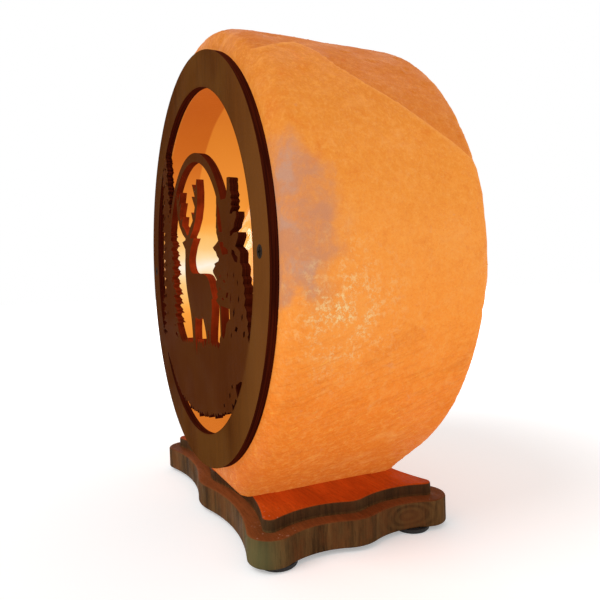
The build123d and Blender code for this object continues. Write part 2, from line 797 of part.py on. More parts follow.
def bulb_body(inset):
    """The bulb's candle shape, moved in by an inset."""
    neck = bulb_neck_radius - inset
    neck_low = cap_bottom + 8.5 - (2 if inset else 0)
    neck_high = cap_thread_top - 1
    widest = bulb_widest_radius - inset
    peak = bulb_length - inset
    shoulder = (widest + neck) / 2 + 0.6
    climb = peak - bulb_widest_height
    points = [
        (neck, 0, neck_high),
        (shoulder, 0, (neck_high + bulb_widest_height) / 2 - 1.0),
        (widest, 0, bulb_widest_height),
        (widest * 0.72, 0, bulb_widest_height + climb * 0.47),
        (widest * 0.26, 0, bulb_widest_height + climb * 0.83),
        (0, 0, peak),
    ]
    side = Spline(*points, tangents=[(0, 0, 1), (-1, 0, 0.35)])
    lines = Polyline((0, 0, peak), (0, 0, neck_low), (neck, 0, neck_low), (neck, 0, neck_high))
    face = make_face([side, lines])
    return Pos(0, bulb_axis_y, bulb_base) * revolve(face, Axis.Z)


def make_envelope():
    return bulb_body(0) - bulb_body(bulb_glass)


def make_stem():
    low = cap_bottom + 8.5
    flare = bulb_neck_radius - bulb_glass
    return turned(
        [
            (stem_radius, low),
            (flare, low),
            (flare, low + 1.5),
            (stem_radius + 0.8, low + 8),
            (stem_radius, low + 14),
            (stem_radius, stem_top),
            (0, stem_top),
            (0, low + 3),
        ],
        bulb_base,
    )


def filament_points():
    """The filament zigzags between the two leads, over two support wires."""
    spans = 4
    points = []
    for index in range(spans + 1):
        x = filament_half_span * (2 * index / spans - 1)
        low = index % 2
        points.append((x, 0, bulb_light_height - low * filament_sag))
    return points


def in_bulb(point):
    return (point[0], bulb_axis_y + point[1], bulb_base + point[2])


def bent_wire(foot, end):
    """A wire that stands up straight from the stem's top and then leans to its end."""
    bend = in_bulb((foot[0], foot[1], stem_top + wire_straight))
    upright_part = rod(in_bulb((foot[0], foot[1], stem_top)), bend, wire_radius)
    return upright_part + rod(bend, in_bulb(end), wire_radius)


def make_lead_wires():
    wires = []
    beside = filament_radius + wire_radius + fit_gap
    for side, end in ((-1, filament_points()[0]), (1, filament_points()[-1])):
        foot = (side * stem_radius * 0.5, 0)
        wires.append(bent_wire(foot, (end[0] + side * beside, 0, end[2])))
    return Compound(children=wires)


def make_support_wires():
    wires = []
    below = filament_radius + wire_radius + fit_gap
    for index in (1, 3):
        x, y, z = filament_points()[index]
        foot = (x * 0.25, stem_radius * 0.55)
        wires.append(bent_wire(foot, (x, y, z - below)))
    return Compound(children=wires)


def make_filament():
    points = [in_bulb(point) for point in filament_points()]
    filament = Pos(*points[0]) * Sphere(filament_radius)
    for start, end in zip(points, points[1:]):
        filament += rod(start, end, filament_radius)
    return filament


# ------------------------------------------------------------------ lamp holder


def make_holder_shell():
    rim_radius = cap_rim_radius + rim_clearance
    seat = cap_thread_radius + running_gap + liner_wall + fit_gap
    return turned(
        [
            (holder_inner_radius, -holder_shell_drop),
            (holder_radius, -holder_shell_drop),
            (holder_radius, holder_rim - 1.0),
            (holder_radius - 1.0, holder_rim),
            (rim_radius, holder_rim),
            (rim_radius, liner_top),
            (seat, liner_top),
            (seat, block_top),
            (holder_inner_radius, block_top),
        ],
        bulb_base,
    )


def make_screw_liner():
    inner = cap_thread_radius + running_gap
    outer = inner + liner_wall
    return turned(
        [
            (inner, liner_bottom),
            (outer, liner_bottom),
            (outer, liner_top - 0.5),
            (outer, liner_top),
            (inner, liner_top),
        ],
        bulb_base,
    )


def block_bottom():
    return -holder_shell_drop + holder_spigot


def make_contact_block():
    radius = holder_inner_radius - fit_gap
    low, high = bulb_base + block_bottom(), bulb_base + block_top
    block = upright(radius, low, high, y=bulb_axis_y)
    pocket_floor = bulb_base + block_pocket_floor
    block -= upright(block_pocket_radius, pocket_floor, high + 1, y=bulb_axis_y)
    for side in (-1, 1):
        y = bulb_axis_y + side * terminal_spread
        hole_top = low + terminal_screw_length
        block -= upright(terminal_screw_radius + fit_gap, low - 1, hole_top, y=y)
        head_room = terminal_head_radius + terminal_head_room
        block -= upright(head_room, low - 1, low + terminal_head_height, y=y)
    return block


def make_terminal_screws():
    screws = []
    for side in (-1, 1):
        y = bulb_axis_y + side * terminal_spread
        low = bulb_base + block_bottom()
        seat = low + terminal_head_height
        head = upright(terminal_head_radius, low + terminal_recess, seat, y=y)
        slot = Box(terminal_head_radius * 3, terminal_slot_width, 2 * terminal_slot_depth)
        head -= Pos(0, y, low + terminal_recess) * slot
        tip = low + terminal_screw_length - terminal_tip_gap
        screws.append(head + upright(terminal_screw_radius, seat, tip, y=y))
    return Compound(children=screws)


def strip_side(points, thickness, width):
    """A bent strip, from the line of its middle in the XZ plane, as wide as said along Y."""
    line = Polyline(*[(x, z) for x, z in points])
    side = trace(line, thickness)
    start = Plane((0, width / 2, 0), x_dir=(1, 0, 0), z_dir=(0, -1, 0))
    return extrude(start * side, width)


def make_centre_contact():
    floor = block_pocket_floor + spring_strip / 2
    touch = -contact_gap - spring_strip / 2
    reach = block_pocket_radius * 0.6
    line = [
        (-reach - 0.6, floor),
        (reach - 0.6, floor),
        (reach + 0.1, floor + 0.7),
        (reach - 0.8, (floor + touch) / 2 + 0.2),
        (contact_radius * 0.4, touch),
        (-contact_radius * 0.6, touch),
        (-contact_radius, touch - 0.6),
    ]
    strip = strip_side(line, spring_strip, spring_strip_width)
    return Pos(0, bulb_axis_y, bulb_base) * strip


def make_holder_cap():
    spigot = holder_inner_radius - fit_gap
    wall = holder_inner_radius - spigot_wall
    low = -holder_cap_drop
    cap = turned(
        [
            (nipple_radius + fit_gap, low),
            (holder_radius - holder_cap_round, low),
            (holder_radius, low + holder_cap_round),
            (holder_radius, -holder_shell_drop),
            (spigot, -holder_shell_drop),
            (spigot, block_bottom()),
            (wall, block_bottom()),
            (wall, low + holder_cap_floor),
            (nipple_radius + fit_gap, low + holder_cap_floor),
        ],
        bulb_base,
    )
    return cap


def make_nipple():
    seat = bulb_base - holder_cap_drop + holder_cap_floor
    low = bulb_base - nipple_drop
    nipple = tube(nipple_radius, nipple_bore_radius, low, seat + nipple_flange, y=bulb_axis_y)
    flange = tube(nipple_flange_radius, nipple_bore_radius, seat, seat + nipple_flange, y=bulb_axis_y)
    return nipple + flange


def make_nipple_nut():
    top = bulb_base - holder_cap_drop - clip_strip
    nut = extrude(RegularPolygon(nut_across_flats / sqrt(3), 6), nut_height)
    nut = Pos(0, bulb_axis_y, top - nut_height) * nut
    return nut - upright(nipple_radius, top - nut_height - 1, top + 1, y=bulb_axis_y)


def make_spring_clip():
    """A strip under the holder whose two wings bend up and press the salt's bore."""
    half_width = clip_width / 2
    reach = sqrt((bulb_bore_radius - bore_gap) ** 2 - half_width**2) - clip_strip / 2
    level = -holder_cap_drop - clip_strip / 2
    knee = holder_radius - 1.5
    wing = [
        (knee, level),
        (knee + 2.0, level + 1.2),
        (reach, level + clip_wing_rise),
        (reach, level + clip_wing_rise + 1.5),
        (reach - clip_tip_inset, level + clip_tip_rise),
    ]
    line = [(-x, z) for x, z in wing[::-1]] + wing
    clip = Pos(0, bulb_axis_y, bulb_base) * strip_side(line, clip_strip, clip_width)
    base = bulb_base + level
    return clip - upright(nipple_radius + fit_gap, base - 5, base + 5, y=bulb_axis_y)


# ------------------------------------------------------------------ write every piece

pieces = {
    "base_plinth": make_board,
    "base_screws": make_base_screws,
    "base_plugs": make_base_plugs,
    "cord_grommet": make_grommet,
    "salt_block": make_salt,
    "fretwork_panel": make_panel,
    "panel_screws": make_panel_screws,
    "panel_plugs": make_panel_plugs,
    "holder_shell": make_holder_shell,
    "holder_cap": make_holder_cap,
    "contact_block": make_contact_block,
    "screw_liner": make_screw_liner,
    "centre_contact": make_centre_contact,
    "terminal_screws": make_terminal_screws,
    "threaded_nipple": make_nipple,
    "nipple_nut": make_nipple_nut,
    "spring_clip": make_spring_clip,
    "bulb_cap": make_bulb_cap,
    "bulb_insulator": make_bulb_insulator,
    "bulb_contact": make_bulb_contact,
    "bulb_envelope": make_envelope,
    "bulb_stem": make_stem,
    "lead_wires": make_lead_wires,
    "support_wires": make_support_wires,
    "filament": make_filament,
}

os.makedirs("parts", exist_ok=True)
for name, make in pieces.items():
    export_step(make(), f"parts/{name}.step")
for name, (x, y) in foot_places().items():
    export_step(make_foot(x, y), f"parts/{name}.step")
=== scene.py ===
import math

import bmesh
import bpy
import numpy as np
from mathutils import Matrix, Vector, noise


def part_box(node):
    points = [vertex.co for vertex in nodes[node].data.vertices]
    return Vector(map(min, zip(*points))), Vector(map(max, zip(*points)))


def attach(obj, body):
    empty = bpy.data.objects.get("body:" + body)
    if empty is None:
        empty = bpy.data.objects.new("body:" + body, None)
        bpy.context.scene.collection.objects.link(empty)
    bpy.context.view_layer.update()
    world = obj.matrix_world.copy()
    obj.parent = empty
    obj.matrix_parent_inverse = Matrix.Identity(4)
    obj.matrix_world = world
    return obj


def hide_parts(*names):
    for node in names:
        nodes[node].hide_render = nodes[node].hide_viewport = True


bl_info = {
    "name": "Salt Crystal Lamp",
    "version": (1, 0, 0),
    "blender": (4, 5, 0),
    "location": "View3D > Sidebar > Salt Lamp",
    "description": "Dresses the packed salt lamp: salt drum, fretwork picture, plinth, bulb and stage",
    "category": "Object",
}

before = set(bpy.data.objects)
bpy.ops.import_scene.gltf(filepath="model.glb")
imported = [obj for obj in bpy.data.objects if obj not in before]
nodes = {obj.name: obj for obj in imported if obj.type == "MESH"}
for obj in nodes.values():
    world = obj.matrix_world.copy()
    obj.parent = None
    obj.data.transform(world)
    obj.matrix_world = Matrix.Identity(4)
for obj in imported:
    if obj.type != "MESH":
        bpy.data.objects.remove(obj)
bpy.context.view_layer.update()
MM = 0.001

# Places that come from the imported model, in metres.
salt_low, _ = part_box("salt_block")
panel_low, panel_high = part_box("fretwork_panel")
envelope_low, envelope_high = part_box("bulb_envelope")
filament_low, filament_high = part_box("filament")
cap_low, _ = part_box("bulb_cap")
nipple_low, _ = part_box("threaded_nipple")
axis_height = (panel_low.z + panel_high.z) / 2
bulb_y = (envelope_low.y + envelope_high.y) / 2
salt_front = panel_high.y

BLACK = (0.0, 0.0, 0.0, 1.0)
WHITE = (1.0, 1.0, 1.0, 1.0)


def srgb(red, green, blue):
    """A colour given as screen values from 0 to 255, as the scene-linear colour of a socket."""

    def linear(value):
        value /= 255
        return value / 12.92 if value <= 0.04045 else ((value + 0.055) / 1.055) ** 2.4

    return (linear(red), linear(green), linear(blue), 1.0)


def scaled(colour, share):
    """A darker or lighter colour."""
    return (colour[0] * share, colour[1] * share, colour[2] * share, 1.0)


# ------------------------------------------------------------------ sizes and colours


def colour(name, description, default):
    return bpy.props.FloatVectorProperty(
        name=name, description=description, default=default, size=4, min=0.0, max=1.0, subtype="COLOR"
    )


def amount(name, description, default, high=10.0, **more):
    return bpy.props.FloatProperty(
        name=name, description=description, default=default, min=0.0, max=high, **more
    )


def length(name, description, default):
    return amount(name, description, default, 100.0, subtype="DISTANCE", unit="LENGTH")


class SaltSettings(bpy.types.PropertyGroup):
    grain: length("Mesh Grain", "Spacing of the points on the salt's surface", 0.0014)
    lump: length("Lumps", "Height of the broad hand-carved unevenness", 0.0004)
    pit: length("Pits", "Depth of the small broken-out pits", 0.0005)
    step: length("Cleft Step", "How far the cloven upper side lies back from the lower side", 0.0009)
    glow: amount("Glow", "Share of the salt's look that comes from the light inside it", 0.70, 1.0)
    # colours of the salt's painted glow and shade: nearest the bulb, high above it, and near the foot
    middle: colour("Middle", "Salt nearest the bulb", srgb(253, 151, 58))
    upper: colour("Upper", "Salt high above the bulb", srgb(218, 127, 44))
    lower: colour("Lower", "Salt near the foot", srgb(216, 108, 32))
    cloud: colour("Cloud", "The mauve cloud in the crystal", srgb(205, 140, 108))
    crystals: amount("Crystals", "How thickly bright flakes are set in the surface", 420.0, 4000.0)


class FretworkSettings(bpy.types.PropertyGroup):
    face: colour("Face", "Stained face of the plywood", srgb(100, 55, 18))
    face_dark: colour("Face Grain", "Dark grain lines of the face", srgb(72, 37, 12))
    edge: colour("Cut Edge", "Laser-burnt edge", srgb(52, 16, 8))
    edge_glow: colour("Edge Glow", "Light that the cut edges pick up near the bulb", srgb(190, 58, 16))


class PlinthSettings(bpy.types.PropertyGroup):
    light: colour("Light Grain", "Light streaks of the board", srgb(118, 84, 48))
    dark: colour("Dark Grain", "Dark streaks of the board", srgb(56, 37, 21))
    warm: colour("Lit Top", "Top faces where the salt's light falls", srgb(192, 76, 20))
    ledge: colour("Lit Ledge", "The ledge, further from the salt", srgb(124, 68, 34))


class BulbSettings(bpy.types.PropertyGroup):
    coil: length("Filament Coil", "Radius of the coiled tungsten wire", 0.00042)
    wire: length("Filament Wire", "Radius of the wire itself", 0.00007)
    thread: length("Thread Depth", "Radius of the rolled thread's round ridge", 0.00035)
    pitch: length("Thread Pitch", "Rise of the thread in one turn", 0.002822)
    brightness: amount("Brightness", "Strength of the glowing filament", 12.0, 100.0)


class HolderSettings(bpy.types.PropertyGroup):
    case: colour("Case", "Black thermoset of the lamp holder", srgb(28, 28, 30))
    nipple_pitch: length("Nipple Pitch", "Rise of the nipple's thread in one turn", 0.001)
    nipple_thread: length("Nipple Thread", "Radius of the nipple thread's round ridge", 0.0002)


class StageSettings(bpy.types.PropertyGroup):
    floor_size: length("Floor", "Side of the pale floor", 12.0)
    key: amount("Key Light", "Strength of the soft light from above the picture", 1.15, 1000.0)
    softness: amount("Softness", "Angle that the key light fills", math.radians(32), subtype="ANGLE")
    sky: amount("Surround", "Strength of the even light from all round", 0.62, 10.0)
    lens: amount("Lens", "Focal length for a 36 mm sensor", 32.906, 500.0)


# ------------------------------------------------------------------ node helpers


def set_sockets(tree, node, values):
    """Fills a node's inputs; a value is a constant or another node's output."""
    for name, value in values.items():
        if isinstance(value, bpy.types.NodeSocket):
            tree.links.new(value, node.inputs[name])
        else:
            node.inputs[name].default_value = value


def add(tree, kind, inputs=None, **settings):
    """A node with its settings and its inputs."""
    made = tree.nodes.new(kind)
    for name, value in settings.items():
        setattr(made, name, value)
    set_sockets(tree, made, inputs or {})
    return made


def calc(tree, operation, first, second=0.0, third=0.0, clamp=False):
    """One sum on single values."""
    return add(
        tree, "ShaderNodeMath", {0: first, 1: second, 2: third}, operation=operation, use_clamp=clamp
    ).outputs[0]


def times(tree, first, *others):
    """The product of several values."""
    for other in others:
        first = calc(tree, "MULTIPLY", first, other)
    return first


def on_vectors(tree, operation, *vectors):
    """One sum on vectors; LENGTH gives a single value."""
    made = add(tree, "ShaderNodeVectorMath", dict(enumerate(vectors)), operation=operation)
    return made.outputs["Value" if operation == "LENGTH" else "Vector"]


def blend(tree, share, first, second, mode="MIX"):
    """Two colours mixed by a share."""
    made = add(
        tree, "ShaderNodeMix", {0: share, 6: first, 7: second}, data_type="RGBA", blend_type=mode
    )
    return made.outputs[2]


def smooth(tree, value, low, high, first=0.0, second=1.0):
    """Runs smoothly from first to second as a value goes from low to high."""
    return add(
        tree,
        "ShaderNodeMapRange",
        {"Value": value, "From Min": low, "From Max": high, "To Min": first, "To Max": second},
        interpolation_type="SMOOTHSTEP",
    ).outputs[0]


def ramp(tree, value, stops):
    """A colour picked along a value from 0 to 1."""
    made = add(tree, "ShaderNodeValToRGB", {0: value})
    elements = made.color_ramp.elements
    while len(elements) < len(stops):
        elements.new(1.0)
    for element, (place, shade) in zip(elements, stops):
        element.position = place
        element.color = shade
    return made.outputs[0]


def millimetres(tree):
    """The point on the object, in millimetres of the lamp's own frame."""
    place = add(tree, "ShaderNodeTexCoord").outputs["Object"]
    return add(
        tree, "ShaderNodeVectorMath", {0: place, "Scale": 1 / MM}, operation="SCALE"
    ).outputs[0]


def parts(tree, vector):
    """A vector's three numbers."""
    made = add(tree, "ShaderNodeSeparateXYZ", {0: vector})
    return made.outputs[0], made.outputs[1], made.outputs[2]


def facing(tree):
    """The surface's own direction, as three numbers."""
    return parts(tree, add(tree, "ShaderNodeTexCoord").outputs["Normal"])


def surface_mark(tree, name):
    """A value that the mesh carries on its points."""
    return add(tree, "ShaderNodeAttribute", attribute_name=name).outputs["Fac"]


def stretched(tree, vector, stretch):
    """Squeezes a pattern along the object's own axes."""
    return add(tree, "ShaderNodeMapping", {"Vector": vector, "Scale": stretch}).outputs[0]


def streaks(tree, vector, sizes, turn):
    """Turns a pattern and stretches it to sizes in millimetres along its own axes."""
    return add(
        tree,
        "ShaderNodeMapping",
        {"Vector": vector, "Scale": sizes, "Rotation": turn},
        vector_type="TEXTURE",
    ).outputs[0]


def cloudy(tree, vector, size, detail=3.0, rough=0.55, twist=0.0):
    """Soft noise from 0 to 1 whose lumps are a size in millimetres."""
    return add(tree, "ShaderNodeTexNoise", {
        "Vector": vector, "Scale": 1.0 / size, "Detail": detail, "Roughness": rough, "Distortion": twist
    }).outputs[0]


def around(tree, vector, centre, reach):
    """1 at a centre, falling to 0 at an ellipsoid's reach, both in millimetres."""
    moved = on_vectors(tree, "SUBTRACT", vector, centre)
    span = on_vectors(tree, "LENGTH", on_vectors(tree, "DIVIDE", moved, reach))
    return smooth(tree, span, 1.0, 0.0)


def new_group(name, inputs, outputs, kind="ShaderNodeTree"):
    """A node group with named sockets of a sort, such as Float, and the nodes at its two ends."""
    group = bpy.data.node_groups.new(name, kind)
    for label, sort, value in inputs:
        made = group.interface.new_socket(label, in_out="INPUT", socket_type="NodeSocket" + sort)
        if value is not None:
            made.default_value = value
    for label, sort in outputs:
        group.interface.new_socket(label, in_out="OUTPUT", socket_type="NodeSocket" + sort)
    return group, add(group, "NodeGroupInput").outputs, add(group, "NodeGroupOutput").inputs


def grit_group():
    """Fine grit: a height for bump and an uneven value for roughness."""
    group, given, out = new_group(
        "Fine Grit",
        [("Place", "Vector", None), ("Size", "Float", 1.0), ("Patch", "Float", 12.0)],
        [("Height", "Float"), ("Patchiness", "Float")],
    )
    fine, patch = [
        add(group, "ShaderNodeTexNoise", {
            "Vector": given["Place"], "Scale": calc(group, "DIVIDE", 1.0, given[size]), "Detail": detail
        }).outputs[0]
        for size, detail in (("Size", 4.0), ("Patch", 3.0))
    ]
    group.links.new(fine, out["Height"])
    group.links.new(smooth(group, patch, 0.3, 0.7), out["Patchiness"])
    return group


def grain_group():
    """Wood grain that runs along one direction: colour and height."""
    group, given, out = new_group(
        "Wood Grain",
        [
            ("Place", "Vector", None),
            ("Stretch", "Vector", (1.0, 1.0, 1.0)),
            ("Light", "Color", WHITE),
            ("Dark", "Color", BLACK),
            ("Contrast", "Float", 1.0),
        ],
        [("Color", "Color"), ("Height", "Float")],
    )
    drawn = on_vectors(group, "MULTIPLY", given["Place"], given["Stretch"])
    broad = times(group, cloudy(group, drawn, 5.0, 3.0, 0.6, 0.6), 0.55)
    fibres = times(group, cloudy(group, drawn, 1.0, 5.0, 0.7), 0.45)
    centred = calc(group, "SUBTRACT", calc(group, "ADD", broad, fibres), 0.5)
    centred = times(group, centred, given["Contrast"], 3.0)
    share = calc(group, "ADD", centred, 0.5, clamp=True)
    pores = smooth(group, cloudy(group, drawn, 0.45, 2.0, 0.5), 0.36, 0.44)
    share = times(group, share, calc(group, "MULTIPLY_ADD", pores, 0.45, 0.55))
    group.links.new(blend(group, share, given["Dark"], given["Light"]), out["Color"])
    group.links.new(share, out["Height"])
    return group


def specks_group():
    """Scattered specks: a mask over random cells of a size."""
    group, given, out = new_group(
        "Scattered Specks",
        [
            ("Place", "Vector", None),
            ("Size", "Float", 2.0),
            ("Share", "Float", 0.2),
            ("Fill", "Float", 0.35),
        ],
        [("Mask", "Float")],
    )
    scale = calc(group, "DIVIDE", 1.0, given["Size"])
    cells = add(group, "ShaderNodeTexVoronoi", {"Vector": given["Place"], "Scale": scale}).outputs
    chosen = calc(group, "LESS_THAN", parts(group, cells["Color"])[0], given["Share"])
    inside = calc(group, "LESS_THAN", cells["Distance"], given["Fill"])
    group.links.new(times(group, chosen, inside), out["Mask"])
    return group


groups = {}


def use(tree, name, inputs):
    """The outputs of a shared node group, placed in a tree."""
    made = add(tree, "ShaderNodeGroup", node_tree=groups[name])
    set_sockets(tree, made, inputs)
    return made.outputs


def material(name):
    """A new material: its tree, its shader and the point on the object in millimetres."""
    made = bpy.data.materials.new(name)
    made.use_nodes = True
    tree = made.node_tree
    return made, tree, tree.nodes["Principled BSDF"], millimetres(tree)


def bump(tree, shader, height, distance, strength):
    """Fine relief that is too small for the mesh."""
    made = add(tree, "ShaderNodeBump", {"Height": height, "Distance": distance, "Strength": strength})
    tree.links.new(made.outputs[0], shader.inputs["Normal"])


# ------------------------------------------------------------------ materials

# Centres and reaches of the clouds in the salt, in millimetres.
cloud_places = {
    "mauve": [
        ((92.0, -35.0, 112.0), (40.0, 18.0, 27.0)),
        ((90.0, -37.0, 126.0), (40.0, 17.0, 25.0)),
        ((93.0, -37.0, 101.0), (40.0, 11.0, 12.0)),
    ],
    "lilac": [
        ((91.0, -38.0, 118.0), (40.0, 4.0, 10.0)),
        ((94.0, -34.5, 101.0), (40.0, 6.0, 5.5)),
        ((88.0, -38.0, 131.0), (40.0, 6.0, 6.0)),
    ],
}

# Places on the lamp that the finishes go by, in millimetres.
# the salt's painted glow and shade change with height over this span
drum_foot, drum_rise = 16.0, 190.0  # the span over which the salt's colour changes with height
flank_marks = (96.0, 66.0)  # heights between which the drag marks and scratches set in
glow_level = 109.5  # height of the brightest part of the niche
glow_reach = 80.0  # how far from it the niche is darkest
niche_mouth = (17.4, 16.4)  # depth behind the salt's front where the mouth starts
mouth_shade = (122.0, 168.0)  # heights between which the mouth gets duller
niche_rear = (38.0, 56.0)  # depths between which the side wall becomes the rear wall
ring_inside = (73.0, 70.0)  # radii between which the ring becomes the scene
knot_place = (63.0, 22.0, 7.0)
green_corner = (60.0, -42.0, 6.0)
dusty_corner = (58.0, -34.0, 14.0)
upper_tier = (12.4, 13.0)  # height of the plinth's step


def salt_colour(tree, given, place, height):
    """The salt's painted glow by height, under its veins and crystal grain, with its fine and tiny
    grain.
    """
    share = calc(tree, "DIVIDE", calc(tree, "SUBTRACT", height, drum_foot), drum_rise)
    # painted glow: brightest near the bulb's height, with painted shade higher up and towards the foot
    body = ramp(tree, share, [
        (0.0, scaled(given.lower, 0.88)),
        (0.075, scaled(given.lower, 1.06)),
        (0.15, srgb(236, 124, 37)),
        (0.23, srgb(247, 134, 42)),
        (0.35, tuple(given.middle)),
        (0.50, srgb(249, 155, 66)),
        (0.60, srgb(241, 148, 58)),
        (0.71, srgb(230, 138, 50)),
        (0.84, tuple(given.upper)),
        (1.0, srgb(203, 115, 40)),
    ])
    veins = cloudy(tree, streaks(tree, place, (14.0, 14.0, 9.0), (0.5, 0.2, 0.0)), 1.0, 6.0, 0.65, 0.6)
    fine = cloudy(tree, place, 2.6, 5.0, 0.75)
    tiny = cloudy(tree, place, 0.8, 3.0, 0.7)
    # a pattern, where it starts and ends, how much it covers at most, and its colour
    layers = [
        (veins, 0.52, 0.74, 0.40, srgb(248, 168, 92)),
        (veins, 0.46, 0.28, 0.40, srgb(224, 116, 34)),
        (fine, 0.46, 0.66, 0.30, srgb(255, 172, 84)),
        (fine, 0.48, 0.30, 0.26, srgb(222, 118, 50)),
        (tiny, 0.52, 0.68, 0.26, srgb(255, 180, 88)),
        (tiny, 0.46, 0.32, 0.22, srgb(214, 112, 40)),
    ]
    for pattern, low, high, most, shade in layers:
        body = blend(tree, smooth(tree, pattern, low, high, 0.0, most), body, shade)
    # painted shade darkens the cloven upper side, and a painted highlight lies as a pale line along its
    # edge
    painted_cleft_shade = blend(tree, 1.0, body, srgb(236, 222, 226), "MULTIPLY")
    body = blend(tree, times(tree, surface_mark(tree, "cleft"), 0.9), body, painted_cleft_shade)
    body = blend(tree, times(tree, surface_mark(tree, "ridge"), 0.38), body, srgb(246, 168, 92))
    return body, fine, tiny


def cloud_mask(tree, place, name, low, high):
    """Where one kind of cloud lies, with soft edges."""
    mask = 0.0
    for centre, reach in cloud_places[name]:
        mask = calc(tree, "MAXIMUM", around(tree, place, centre, reach), mask)
    return smooth(tree, mask, low, high)


def salt_clouds(tree, given, place, body):
    """The mauve cloud beside the picture, with lilac patches in it, and fainter ones elsewhere."""
    shift = add(tree, "ShaderNodeTexNoise", {"Vector": place, "Scale": 0.11, "Detail": 4.0})
    shift = on_vectors(tree, "SUBTRACT", shift.outputs["Color"], (0.5, 0.5, 0.5))
    drift = on_vectors(tree, "MULTIPLY_ADD", shift, (0.0, 20.0, 26.0), place)
    wispy = smooth(tree, cloudy(tree, place, 7.0, 6.0, 0.72, 0.5), 0.34, 0.58, 0.5, 1.0)
    mauve = times(tree, cloud_mask(tree, drift, "mauve", 0.0, 0.8), wispy)
    lilac = times(tree, cloud_mask(tree, drift, "lilac", 0.1, 0.9), wispy)
    others = smooth(tree, cloudy(tree, place, 40.0, 5.0, 0.6, 0.6), 0.60, 0.74, 0.0, 0.55)
    others = times(tree, others, smooth(tree, parts(tree, place)[0], 20.0, 60.0, 1.0, 0.0))
    smudge = smooth(tree, cloudy(tree, place, 5.0, 3.0, 0.6), 0.66, 0.76, 0.0, 0.22)
    mauve = times(tree, calc(tree, "MAXIMUM", mauve, others), 0.9)
    lilac = times(tree, calc(tree, "MAXIMUM", lilac, smudge), 0.75)
    body = blend(tree, mauve, body, tuple(given.cloud))
    return blend(tree, lilac, body, srgb(198, 152, 134))


def salt_grains(tree, place, body):
    """Granular crystals near the bulb, whose light comes through them, and their mask."""
    near = surface_mark(tree, "flake_zone")
    grains = smooth(tree, cloudy(tree, place, 1.7, 6.0, 0.8, 0.1), 0.46, 0.60)
    clumps = smooth(tree, cloudy(tree, place, 6.0, 4.0, 0.7), 0.36, 0.62)
    bits = calc(tree, "MULTIPLY", times(tree, grains, clumps), near, clamp=True)
    bits = times(tree, bits, 0.9)
    halo = calc(tree, "MULTIPLY", near, 0.32, clamp=True)
    body = blend(tree, halo, body, srgb(255, 172, 92))
    return blend(tree, bits, body, srgb(255, 220, 160)), bits


def salt_marks(tree, place, body):
    """A few dark specks, and drag marks and scratches low on the flanks, with the drag's mask."""
    dark = use(tree, "Scattered Specks", {"Place": place, "Size": 19.0, "Share": 0.10, "Fill": 0.03})
    body = blend(tree, times(tree, dark["Mask"], 0.6), body, srgb(136, 80, 52))
    low = smooth(tree, parts(tree, place)[2], *flank_marks)
    drag = cloudy(tree, streaks(tree, place, (7.0, 12.0, 0.9), (0.32, 0.0, 0.0)), 1.0, 4.0, 0.65)
    drag = times(tree, smooth(tree, drag, 0.52, 0.66), low)
    body = blend(tree, times(tree, drag, 0.22), body, srgb(214, 104, 28))
    scratch = cloudy(tree, streaks(tree, place, (5.0, 9.0, 0.55), (0.5, 0.0, 0.0)), 1.0, 1.0, 0.4)
    lines = times(tree, smooth(tree, scratch, 0.73, 0.78), low)
    return blend(tree, times(tree, lines, 0.75), body, srgb(255, 182, 78)), drag


def niche_light(tree, place, level):
    """The niche's painted light: brightest beside the bulb, with painted shade at the mouth."""
    x, y, z = parts(tree, place)
    front = salt_front / MM
    # on the side wall the light falls off up and down, on the rear wall all round the bulb
    above = calc(tree, "SUBTRACT", level, glow_level)
    wall = times(tree, calc(tree, "ABSOLUTE", above), 1.04)
    round_bulb = calc(tree, "SQRT", calc(tree, "MULTIPLY_ADD", above, above, times(tree, x, x)))
    rear = smooth(tree, y, front + niche_rear[0], front + niche_rear[1])
    away = add(tree, "ShaderNodeMix", {0: rear, 2: wall, 3: round_bulb}, data_type="FLOAT").outputs[0]
    lit = ramp(tree, calc(tree, "DIVIDE", away, glow_reach), [
        (0.0, (1.0, 0.90, 0.74, 1.0)),
        (0.06, srgb(254, 222, 168)),
        (0.12, srgb(253, 202, 128)),
        (0.20, srgb(252, 192, 108)),
        (0.26, srgb(253, 176, 81)),
        (0.33, srgb(250, 160, 62)),
        (0.45, srgb(243, 150, 55)),
        (0.63, srgb(232, 137, 48)),
        (0.80, srgb(221, 126, 40)),
        (1.0, srgb(204, 106, 33)),
    ])
    # painted shade on the mouth, strongest towards its top
    mouth = smooth(tree, y, front + niche_mouth[0], front + niche_mouth[1])
    mouth = times(tree, mouth, smooth(tree, z, *mouth_shade))
    return blend(tree, mouth, lit, blend(tree, 1.0, lit, (0.77, 0.575, 0.52, 1.0), "MULTIPLY"))


